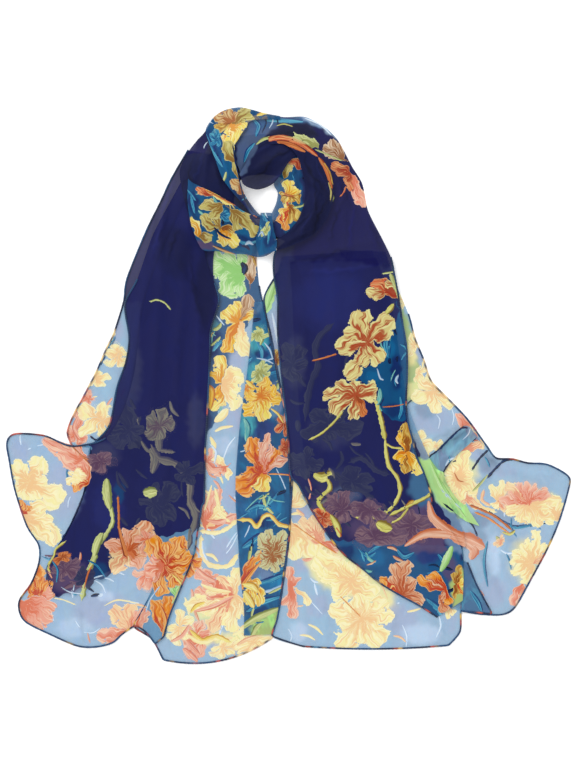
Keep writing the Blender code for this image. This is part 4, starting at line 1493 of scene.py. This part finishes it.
def line_place(line, points):
    """Signed distance from a line of short segments and the share of the way along it."""
    nearest = np.full(len(points), 1e9)
    side, way_along = np.zeros(len(points)), np.zeros(len(points))
    for k, (start, end) in enumerate(zip(line, line[1:])):
        way = end - start
        length = np.linalg.norm(way)
        if length < 1e-9:
            continue
        out = points - start
        share = np.clip(out @ way / length**2, 0, 1)
        away = np.linalg.norm(out - share[:, None] * way, axis=1)
        closer = away < nearest
        nearest[closer] = away[closer]
        cross = (way[0] * out[:, 1] - way[1] * out[:, 0]) / length
        side[closer] = (np.where(cross < 0, -1.0, 1.0) * away)[closer]
        way_along[closer] = ((k + share) / (len(line) - 1))[closer]
    return side, way_along


def width_share(twig, along):
    """A stroke's half-width along its way, as a share of its widest."""
    if twig.form == "petal":
        along = np.clip(along, 0, 1)
        widening = 0.32 + 0.68 * np.sin(np.pi / 2 * np.minimum(along / 0.62, 1))
        return widening * np.sqrt(1 - np.clip((along - 0.45) / 0.55, 0, 1) ** 3.0) + 0.01
    if twig.form == "leaf":
        return np.sin(np.pi * np.clip(along, 0, 1)) ** 0.7 + 0.02
    if twig.form == "point":
        return np.clip(1 - along, 0, 1) ** 0.6 + 0.05
    bumps = 1 + 0.25 * np.sin(along * 40 + twig.points[0][0]) * np.sin(along * 17)
    ends = np.clip(np.minimum(along, 1 - along) * 14, 0.25, 1)
    return ends * bumps


def twig_place(twig, line, points):
    """Places across a stroke, in its own half-widths, and along it."""
    side, along = line_place(line, points)
    return side / (twig.width * MM / 2 * width_share(twig, along)), along


def store_twigs(mesh, name, rows, corners, centres):
    """Writes, for each face corner, its place across and along the nearest stroke."""
    best = np.full(len(centres), TWIG_REACH)
    chosen = np.full(len(centres), -1)
    lines = [smooth_line(plan(t.points)) for t in rows]
    for k, (twig, line) in enumerate(zip(rows, lines)):
        room = ((TWIG_REACH + 1) * twig.width / 2 + TWIG_ROOM) * MM
        close = ((centres > line.min(0) - room) & (centres < line.max(0) + room)).all(1)
        if not close.any():
            continue
        away = np.abs(twig_place(twig, line, centres[close])[0])
        nearer = away < best[close]
        where = np.flatnonzero(close)[nearer]
        best[where], chosen[where] = away[nearer], k
    values = nowhere(corners)
    for k, (twig, line) in enumerate(zip(rows, lines)):
        mine = chosen == k
        if mine.any():
            side, along = twig_place(twig, line, corners[mine].reshape(-1, 2))
            values[mine, :, 0] = side.reshape(-1, 4)
            values[mine, :, 1] = along.reshape(-1, 4)
            values[mine, :, 2] = motif_number(twig) + (twig.form != "petal")
    store(mesh, name, "FLOAT_VECTOR", values)


def wandered(points):
    """Places moved by a millimetre or two, which makes the shapes drawn on them uneven."""
    x, y = points[..., 0] / MM, points[..., 1] / MM
    aside = 1.2 * np.sin(0.31 * x + 1.9 * np.sin(0.17 * y)) + 0.8 * np.sin(0.53 * y + 0.21 * x + 2)
    onward = 1.2 * np.sin(0.29 * y + 1.7 * np.sin(0.19 * x + 1)) + 0.8 * np.sin(0.47 * x - 0.25 * y)
    return points + np.stack([aside, onward], -1) * MM


def printed(mesh, name, cell, points, faces):
    """Puts the print's places on a sheet's face corners."""
    straight = points[faces][:, :, :2]
    bent = wandered(straight)
    outer, inner, border = ground_of(name, cell, bent.reshape(-1, 2))
    # These ground colours hold the creases' painted shade and highlights and the painted shadow
    # patches.
    store(mesh, "ground", "FLOAT_COLOR", outer)
    store(mesh, "drawn", "FLOAT_COLOR", inner)
    store(mesh, "border", "FLOAT_VECTOR", np.stack([border / MM] * 3, 1))
    twigs = on(name, TWIGS)
    petals = [t for t in twigs if t.form == "petal"]
    others = [t for t in twigs if t.form != "petal"]
    for kind, rows, corners, write in (
        ("bloom", on(name, BLOOMS), bent, store_blooms), ("petal", petals, bent, store_twigs),
        ("twig", others, straight, store_twigs),
    ):
        for height, over in (("low", 0), ("high", 1)):
            here = [row for row in rows if row.over == over]
            write(mesh, f"{kind}_{height}", here, corners, corners.mean(1))


# ---------------------------------------------------------------- materials

class Nodes:
    """Short ways to add shader nodes to one tree."""

    def __init__(self, tree):
        self.tree = tree

    def add(self, kind, **settings):
        node = self.tree.nodes.new(kind)
        for key, value in settings.items():
            setattr(node, key, value)
        return node

    def set(self, socket, value):
        if isinstance(value, bpy.types.NodeSocket):
            self.tree.links.new(value, socket)
        elif value is not None:
            socket.default_value = value

    def put(self, node, values, sockets=None):
        """Sets a node's inputs, in order or by their numbers or names."""
        for k, value in zip(sockets or range(len(values)), values):
            self.set(node.inputs[k], value)
        return node

    def math(self, operation, a, b=None, c=None, clamp=False):
        node = self.add("ShaderNodeMath", operation=operation, use_clamp=clamp)
        return self.put(node, (a, b, c)).outputs[0]

    def line(self, x, gain, shift, clamp=False):
        return self.math("MULTIPLY_ADD", x, gain, shift, clamp)

    def ease(self, x, low, high, most=1.0):
        node = self.add("ShaderNodeMapRange", interpolation_type="SMOOTHSTEP")
        return self.put(node, (x, low, high, most), (
            "Value", "From Min", "From Max", "To Max")).outputs[0]

    def mix(self, share, a, b, how="MIX"):
        node = self.add("ShaderNodeMix", data_type="RGBA", blend_type=how, clamp_factor=True)
        return self.put(node, (share, a, b), (0, 6, 7)).outputs[2]

    def fade(self, share, a, b):
        node = self.add("ShaderNodeMix", data_type="FLOAT")
        return self.put(node, (share, a, b), (0, 2, 3)).outputs[0]

    def mix_vectors(self, share, a, b):
        node = self.add("ShaderNodeMix", data_type="VECTOR")
        return self.put(node, (share, a, b), (0, 4, 5)).outputs[1]

    def vector(self, x, y, z):
        return self.put(self.add("ShaderNodeCombineXYZ"), (x, y, z)).outputs[0]

    def split(self, vector):
        return self.put(self.add("ShaderNodeSeparateXYZ"), (vector,)).outputs

    def noise(self, vector, scale, detail=1.0, rough=0.5, distortion=0.0):
        node = self.add("ShaderNodeTexNoise", noise_dimensions="3D")
        return self.put(node, (vector, scale, detail, rough, distortion), (
            "Vector", "Scale", "Detail", "Roughness", "Distortion"))

    def attribute(self, name):
        return self.add("ShaderNodeAttribute", attribute_name=name)

    def palette(self, number, part):
        """The colour of one part of a motif, picked by the palette's number."""
        node = self.add("ShaderNodeValToRGB")
        ramp = node.color_ramp
        ramp.interpolation = "CONSTANT"
        for k, kind in enumerate(PALETTES.values()):
            position = k / len(PALETTES)
            stop = ramp.elements[k] if k < 2 else ramp.elements.new(position)
            stop.position = position
            stop.color = tuple(dye(kind, part))
        return self.put(node, (number,)).outputs


def new_material(name, roughness, gloss):
    """A material with its nodes and its shader's inputs."""
    material = bpy.data.materials.new(name)
    material.use_nodes = True
    n = Nodes(material.node_tree)
    shader = material.node_tree.nodes["Principled BSDF"]
    n.put(shader, (roughness, gloss), ("Roughness", "Specular IOR Level"))
    return material, n, shader


def relief(n, shader, strength, height):
    """Makes a shader's surface look raised and sunk."""
    bump = n.add("ShaderNodeBump")
    n.put(bump, (strength, BUMP_DEPTH, height), ("Strength", "Distance", "Height"))
    n.put(shader, (bump.outputs[0],), ("Normal",))


def petal_of_bloom(n, place, warp):
    """Where a spot is in the nearest of a flower's five petals, a seed, and how near the edge."""
    u, v, number = n.split(place)
    u, v = (n.math("ADD", x, n.line(w, 0.84, -0.42)) for x, w in ((u, warp[0]), (v, warp[1])))
    distance = n.math("SQRT", n.math("ADD", n.math("MULTIPLY", u, u), n.math("MULTIPLY", v, v)))
    turn = n.math("MULTIPLY", n.math("ARCTAN2", v, u), 5 / (2 * math.pi))
    which = n.math("ROUND", turn)
    off = n.math("SUBTRACT", turn, which)
    which = n.math("FLOORED_MODULO", which, 5.0)
    seed = n.math("MULTIPLY_ADD", number, len(PALETTES) * SEED_SPREAD, which)
    dice = n.add("ShaderNodeTexWhiteNoise", noise_dimensions="1D")
    n.put(dice, (seed,), ("W",))
    long, wide, lean = n.split(dice.outputs["Color"])
    along = n.math("DIVIDE", distance, n.line(long, 0.38, 0.80))
    off = n.math("MULTIPLY_ADD", n.line(lean, 0.28, -0.14), along, off)
    round_tip = n.math("SQRT", n.math("SUBTRACT", 1.0, n.math("POWER", along, 4.0, clamp=True)))
    width = n.math("MULTIPLY", n.math("MAXIMUM", round_tip, 0.02), n.line(wide, 0.16, 0.45))
    side = n.math("DIVIDE", off, width)
    edge = n.math("ADD", n.math("ABSOLUTE", side), n.ease(along, 0.97, MOTIF_EDGE, 3.0))
    return n.vector(side, along, number), seed, edge


def topmost(n):
    """The place in the topmost of the motifs at a spot, its nearness to the edge and its seed."""
    where = n.add("ShaderNodeTexCoord").outputs["Object"]
    warp = n.split(n.noise(where, WARP_SCALE).outputs["Color"])
    frill = n.line(n.noise(where, FRILL_SCALE, 2.0, 0.7).outputs["Fac"], 0.80, -0.40)
    chosen, best, seed = n.vector(0.0, 0.0, 0.0), FAR, 0.0
    for motif in ("twig_low", "bloom_low", "petal_low", "bloom_high", "petal_high", "twig_high"):
        place = n.attribute(motif).outputs["Vector"]
        if "bloom" in motif:
            place, own, edge = petal_of_bloom(n, place, warp)
            edge = n.math("ADD", edge, frill)
        else:
            side, along, number = n.split(place)
            own = n.math("MULTIPLY", number, len(PALETTES) * SEED_SPREAD)
            if "petal" in motif:
                side = n.math("ADD", side, n.line(warp[2], 1.7, -0.85))
                place = n.vector(side, along, number)
            fray = 1.0 if "petal" in motif else 0.9
            edge = n.math("MULTIPLY_ADD", frill, fray, n.math("ABSOLUTE", side))
        within = n.math("LESS_THAN", edge, MOTIF_EDGE)
        chosen = n.mix_vectors(within, chosen, place)
        best = n.fade(within, best, edge)
        seed = n.fade(within, seed, own)
    return chosen, best, seed


def print_group():
    """The print: the topmost motif's colours, its cover and its share of the cloth."""
    tree = bpy.data.node_groups.new("print", "ShaderNodeTree")
    for title, kind in (("Colour", "Color"), ("Cover", "Float"), ("Share", "Float")):
        tree.interface.new_socket(title, in_out="OUTPUT", socket_type="NodeSocket" + kind)
    n = Nodes(tree)
    chosen, best, seed = topmost(n)
    side, along, number = n.split(chosen)
    stem = n.math("GREATER_THAN", number, 1.0)
    number = n.math("FRACT", number)
    petal, core, rim, vein = (n.palette(number, part) for part in ("petal", "core", "rim", "vein"))

    # Streaks of watercolour along the petal, in the rim's and the core's colours.
    lengthwise = n.vector(n.math("MULTIPLY", side, 2.4), n.math("MULTIPLY", along, 0.9), seed)
    streak = n.split(n.noise(lengthwise, 1.7, 2.0, 0.6).outputs["Color"])
    colour = n.mix(n.ease(streak[1], 0.44, 0.60), petal[0], rim[0])
    colour = n.mix(n.math("MULTIPLY", n.ease(streak[2], 0.53, 0.64), 0.60), colour, core[0])

    # Fine veins that fan out, the core at the petal's foot, the rim and the outline.
    fan = n.math("ABSOLUTE", n.math("SINE", n.math(
        "MULTIPLY_ADD", side, 5.2, n.math("MULTIPLY", streak[2], 5.0))))
    fine = n.math("MULTIPLY", n.ease(fan, 0.20, 0.02), n.ease(along, 0.95, 0.35))
    colour = n.mix(n.math("MULTIPLY", fine, 0.40), colour, vein[0])
    foot = n.math("SUBTRACT", n.line(streak[0], 2.5, -0.82), n.math("ADD", along, stem))
    colour = n.mix(n.math("MULTIPLY", n.ease(foot, -0.20, 0.12), 0.92), colour, core[0])
    brim = n.math("MULTIPLY", n.ease(best, 0.74, 0.90), n.fade(stem, 0.75, 0.0))
    colour = n.mix(brim, colour, rim[0])
    shaded = n.math("MULTIPLY", stem, n.ease(side, 0.15, 0.75))
    outline = n.math("MULTIPLY", n.ease(best, 0.93, 1.0), 0.22)
    colour = n.mix(n.math("MAXIMUM", shaded, outline), colour, vein[0])
    n.put(n.add("NodeGroupOutput"), (colour, petal[1], n.ease(best, MOTIF_EDGE, 0.95)))
    return tree


def chiffon(name, motifs, look):
    """Sheer printed cloth. The ground, flowers and strokes come from the sheet's own places."""
    material, n, shader = new_material(name, look.roughness, look.gloss)
    where = n.add("ShaderNodeTexCoord").outputs["Object"]
    # The stored ground colours, with the painted shade and highlights along the creases.
    plain, drawn = n.attribute("ground").outputs, n.attribute("drawn").outputs
    ripple = n.line(n.noise(where, FRILL_SCALE, 2.0).outputs["Fac"], 2.0, -1.0)
    border = n.math("ADD", n.split(n.attribute("border").outputs["Vector"])[0], ripple)
    within = n.ease(border, -0.35, 0.35)
    colour = n.mix(within, plain["Color"], drawn["Color"])
    cover = n.fade(within, plain["Alpha"], drawn["Alpha"])

    stretched = n.add("ShaderNodeMapping")
    n.put(stretched, (where, (0, 0, look.slant), (1.0, 0.45, 1.0)), (0, "Rotation", "Scale"))
    stretched = stretched.outputs[0]
    tones = n.split(n.noise(stretched, TONE_SCALE, 3.0, 0.66, 0.6).outputs["Color"])
    sheer = n.line(cover, -2.6, 2.45, True)
    tints = (look.cool, look.cool_tone), (look.warm, look.warm_tone), (look.depth, look.depth_tone)
    for tone, low, (share, tint) in zip(tones, TONE_STARTS, tints):
        share = n.math("MULTIPLY", n.ease(tone, low, low + TONE_WIDTH), share)
        colour = n.mix(share, colour, tint, "MULTIPLY")

    painted = n.add("ShaderNodeGroup")
    painted.node_tree = motifs
    colour = n.mix(painted.outputs["Share"], colour, painted.outputs["Colour"])
    cover = n.fade(painted.outputs["Share"], cover, painted.outputs["Cover"])

    weave = n.noise(where, WEAVE_SCALE, 2.0, 0.6).outputs["Fac"]
    slub = n.noise(stretched, SLUB_SCALE).outputs["Fac"]
    relief(n, shader, look.relief, n.math("ADD", weave, n.math("MULTIPLY", slub, 0.7)))
    cover = n.math("MULTIPLY_ADD", n.line(slub, 0.10, -0.05), sheer, cover)
    n.put(shader, (colour, cover, look.sheen, 0.45, SHEEN_TINT), (
        "Base Color", "Alpha", "Sheen Weight", "Sheen Roughness", "Sheen Tint"))
    return material


def hem_material():
    """The rolled edge, whipped with thread."""
    material, n, shader = new_material("rolled_hem", 0.7, 0.25)
    run = n.split(n.attribute("thread").outputs["Vector"])[1]
    turn = n.math("MULTIPLY", run, 2 * math.pi / (HEM_STITCH * MM))
    thread = n.line(n.math("SINE", turn), 0.5, 0.5, True)
    cloth = n.attribute("ground").outputs["Color"]
    n.put(shader, (n.mix(n.math("MULTIPLY", thread, 0.10), cloth, THREAD_TINT),), ("Base Color",))
    relief(n, shader, 0.5, thread)
    return material


# ---------------------------------------------------------------- pieces

def core_at(angle):
    """The hidden windings' inner and outer radius and height in a direction, in mm."""
    step = 360 / len(CORE)
    index, part = divmod(angle % 360, step)
    here, there = CORE[int(index)], CORE[(int(index) + 1) % len(CORE)]
    ease = 0.5 - 0.5 * math.cos(math.pi * part / step)
    return [a + (b - a) * ease for a, b in zip(here, there)]


def make_core(material):
    """The windings hidden inside the ring: one soft rope of folded cloth."""
    points = []
    for k in range(CORE_STATIONS):
        turn = 2 * math.pi * k / CORE_STATIONS
        inner, outer, height = core_at(math.degrees(turn))
        for s in range(CORE_SIDES):
            side = 2 * math.pi * s / CORE_SIDES
            fold = 1 - 0.05 * (1 + math.sin(5 * side + 3 * turn + 0.8 * math.sin(4 * turn)))
            reach = (inner + outer) / 2 + (outer - inner) / 2 * math.cos(side) * fold
            points.append((
                (EYE_X + reach * math.cos(turn)) * MM,
                (EYE_Y + reach * math.sin(turn)) * MM,
                (LEAST_Z + (height * fold - LEAST_Z) * max(math.sin(side), 0.0) ** 2) * MM,
            ))
    points = np.array(points)
    faces = tube_faces(CORE_STATIONS, CORE_SIDES, closed=True)
    thing = mesh_object("ring_core_cloth", points.tolist(), faces.tolist(), material)
    printed(thing.data, "ring_core", TAIL_CELL, points, faces)
    return thing, points, faces


def tree_for(points, faces):
    """A surface's lowest and highest corner seen from above, and its tree for rays."""
    tree = BVHTree.FromPolygons(points.tolist(), faces.tolist())
    return points[:, :2].min(0), points[:, :2].max(0), tree


def hem_path(points, places, legs):
    """The points along the named stretches of a sheet's edge."""
    path = []
    for side, start, end in legs:
        if side == "end":
            path.extend(points[-1] if start < end else points[-1, ::-1])
            continue
        column = 0 if side == "left" else -1
        a, b = (int(np.abs(places - k).argmin()) for k in (start, end))
        run = points[min(a, b):max(a, b) + 1, column]
        path.extend(run if a < b else run[::-1])
    kept = [path[0]]
    for p in path[1:]:
        if np.linalg.norm(p - kept[-1]) > HEM_STEP * MM:
            kept.append(p)
    return np.array(kept)


def hem_colours(name, spots, seed):
    """Dark blue thread and print, the colour of each flower where the edge crosses one."""
    colours = np.tile(linear(HEM_DARK), (len(spots), 1))
    run = np.arange(len(spots)) * 0.13 + seed
    for k, tint in enumerate(HEM_BITS):
        bit = 3 * np.sin(run * (0.61 + 0.13 * k) + k) * np.sin(run * 2.3 + 2 * k) - 1.9
        bit = eased(bit) * (spots[:, 1] < HEM_BITS_BELOW * MM)
        colours = blend(colours, linear(tint), bit[:, None])
    bluish = eased(np.sin(run) * np.sin(run * 0.37 + 1) + 0.5)
    colours = blend(colours, linear(HEM_BLUE), bluish[:, None])
    for bloom in on(name, BLOOMS):
        away = np.linalg.norm(local_place(bloom, spots), axis=1)
        kind = PALETTES[bloom.palette]
        warm = linear(kind.vein) * 0.6 + linear(kind.core) * 0.4
        share = eased((1.25 - away) / 0.2) * (0.55 + 0.45 * np.sin(run * 5))
        colours = blend(colours, warm, share[:, None])
    return colours


def make_hem(name, number, points, places, legs, material):
    """A whipped roll of cloth along part of a sheet's edge."""
    path = hem_path(points, places, legs)
    for _ in range(2):
        path[1:-1] = (path[:-2] + 2 * path[1:-1] + path[2:]) / 4
    radius = HEM_RADIUS * MM
    path[:, 2] = np.maximum(path[:, 2] + HEM_LIFT * MM, radius * (1 + HEM_SWELL) + HEM_FLOOR * MM)
    way = np.gradient(path, axis=0)
    way /= np.linalg.norm(way, axis=1)[:, None]
    aside = np.cross(way, (0, 0, 1.0))
    aside /= np.linalg.norm(aside, axis=1)[:, None]
    up = np.cross(aside, way)
    run = np.concatenate([[0], np.cumsum(np.linalg.norm(np.diff(path, axis=0), axis=1))])
    thick = radius * (1 + HEM_SWELL * np.sin(run / (HEM_STITCH * MM) * 2 * math.pi + number))
    turns = 2 * math.pi * np.arange(HEM_SIDES) / HEM_SIDES
    ring = (
        aside[:, None] * np.cos(turns)[None, :, None] + up[:, None] * np.sin(turns)[None, :, None]
    )
    tube = (path[:, None] + ring * thick[:, None, None]).reshape(-1, 3)
    faces = tube_faces(len(path), HEM_SIDES, closed=False).tolist()
    ends = [list(range(HEM_SIDES)), list(range(len(tube) - HEM_SIDES, len(tube)))[::-1]]
    thing = mesh_object(f"{name}_hem_{number}", tube.tolist(), faces + ends, material)
    mesh = thing.data
    loops = np.zeros(len(mesh.loops), int)
    mesh.loops.foreach_get("vertex_index", loops)
    station = loops // HEM_SIDES
    colours = hem_colours(name, path[:, :2], number + len(name))[station]
    store(mesh, "ground", "FLOAT_COLOR", np.concatenate([colours, np.ones((len(loops), 1))], 1))
    store(mesh, "thread", "FLOAT_VECTOR", np.stack([
        (loops % HEM_SIDES) / HEM_SIDES, run[station], np.zeros(len(loops))], 1))
    return thing


def stage():
    """A white floor, a bright even room, one soft lamp and the camera straight above."""
    white, n, paint = new_material("floor_white", 1.0, 0.0)
    n.put(paint, ((FLOOR_SHADE,) * 3 + (1,), (1, 1, 1, 1), FLOOR_GLOW), (
        "Base Color", "Emission Color", "Emission Strength"))
    half = FLOOR_HALF
    corners = [(-half, -half, 0), (half, -half, 0), (half, half, 0), (-half, half, 0)]
    mesh_object("floor", corners, [(0, 1, 2, 3)], white)

    scene = bpy.context.scene
    world = bpy.data.worlds.new("room")
    world.use_nodes = True
    sky = world.node_tree.nodes["Background"]
    sky.inputs["Color"].default_value = ROOM_COLOUR
    sky.inputs["Strength"].default_value = ROOM_STRENGTH
    scene.world = world

    lamp = bpy.data.lights.new("lamp", "SUN")
    lamp.energy = LAMP_STRENGTH
    lamp.angle = LAMP_SIZE
    sun = bpy.data.objects.new("lamp", lamp)
    sun.rotation_euler = [math.radians(turn) for turn in LAMP_TURN]
    scene.collection.objects.link(sun)

    lens = bpy.data.cameras.new("camera")
    lens.lens = CAMERA_LENS
    lens.sensor_width = CAMERA_SENSOR
    camera = bpy.data.objects.new("camera", lens)
    camera.location = (*plan(CAMERA_PLAN), CAMERA_HEIGHT)
    scene.collection.objects.link(camera)
    scene.camera = camera
    scene.view_settings.view_transform = "Standard"
    scene.cycles.transparent_max_bounces = SEE_THROUGH


def main():
    """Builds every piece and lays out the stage."""
    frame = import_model()
    motifs = print_group()
    cloths = {slot: chiffon(slot, motifs, LOOKS[slot]) for slot in LOOKS}
    thread = hem_material()

    core, points, faces = make_core(cloths["navy_chiffon"])
    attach(core, "root")
    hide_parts("ring_core")
    below = [tree_for(points, faces)]

    for name, piece in PIECES.items():
        node = frame["nodes"][name].data
        solid = BVHTree.FromPolygons(
            [v.co for v in node.vertices], [p.vertices for p in node.polygons])
        grid, places = lay(name, piece.cell, solid, below)
        points = grid.reshape(-1, 3)
        faces = facing_up(points, sheet_faces(grid.shape[:2]))
        thing = mesh_object(name + "_cloth", points.tolist(), faces.tolist(), cloths[piece.slot])
        printed(thing.data, name, piece.cell, points, faces)
        hems = [
            make_hem(name, k + 1, grid, places, legs, thread) for k, legs in enumerate(piece.hems)
        ]
        for part in [thing, *hems]:
            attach(part, "root")
        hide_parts(name)
        below.append(tree_for(points, faces))

    stage()


main()
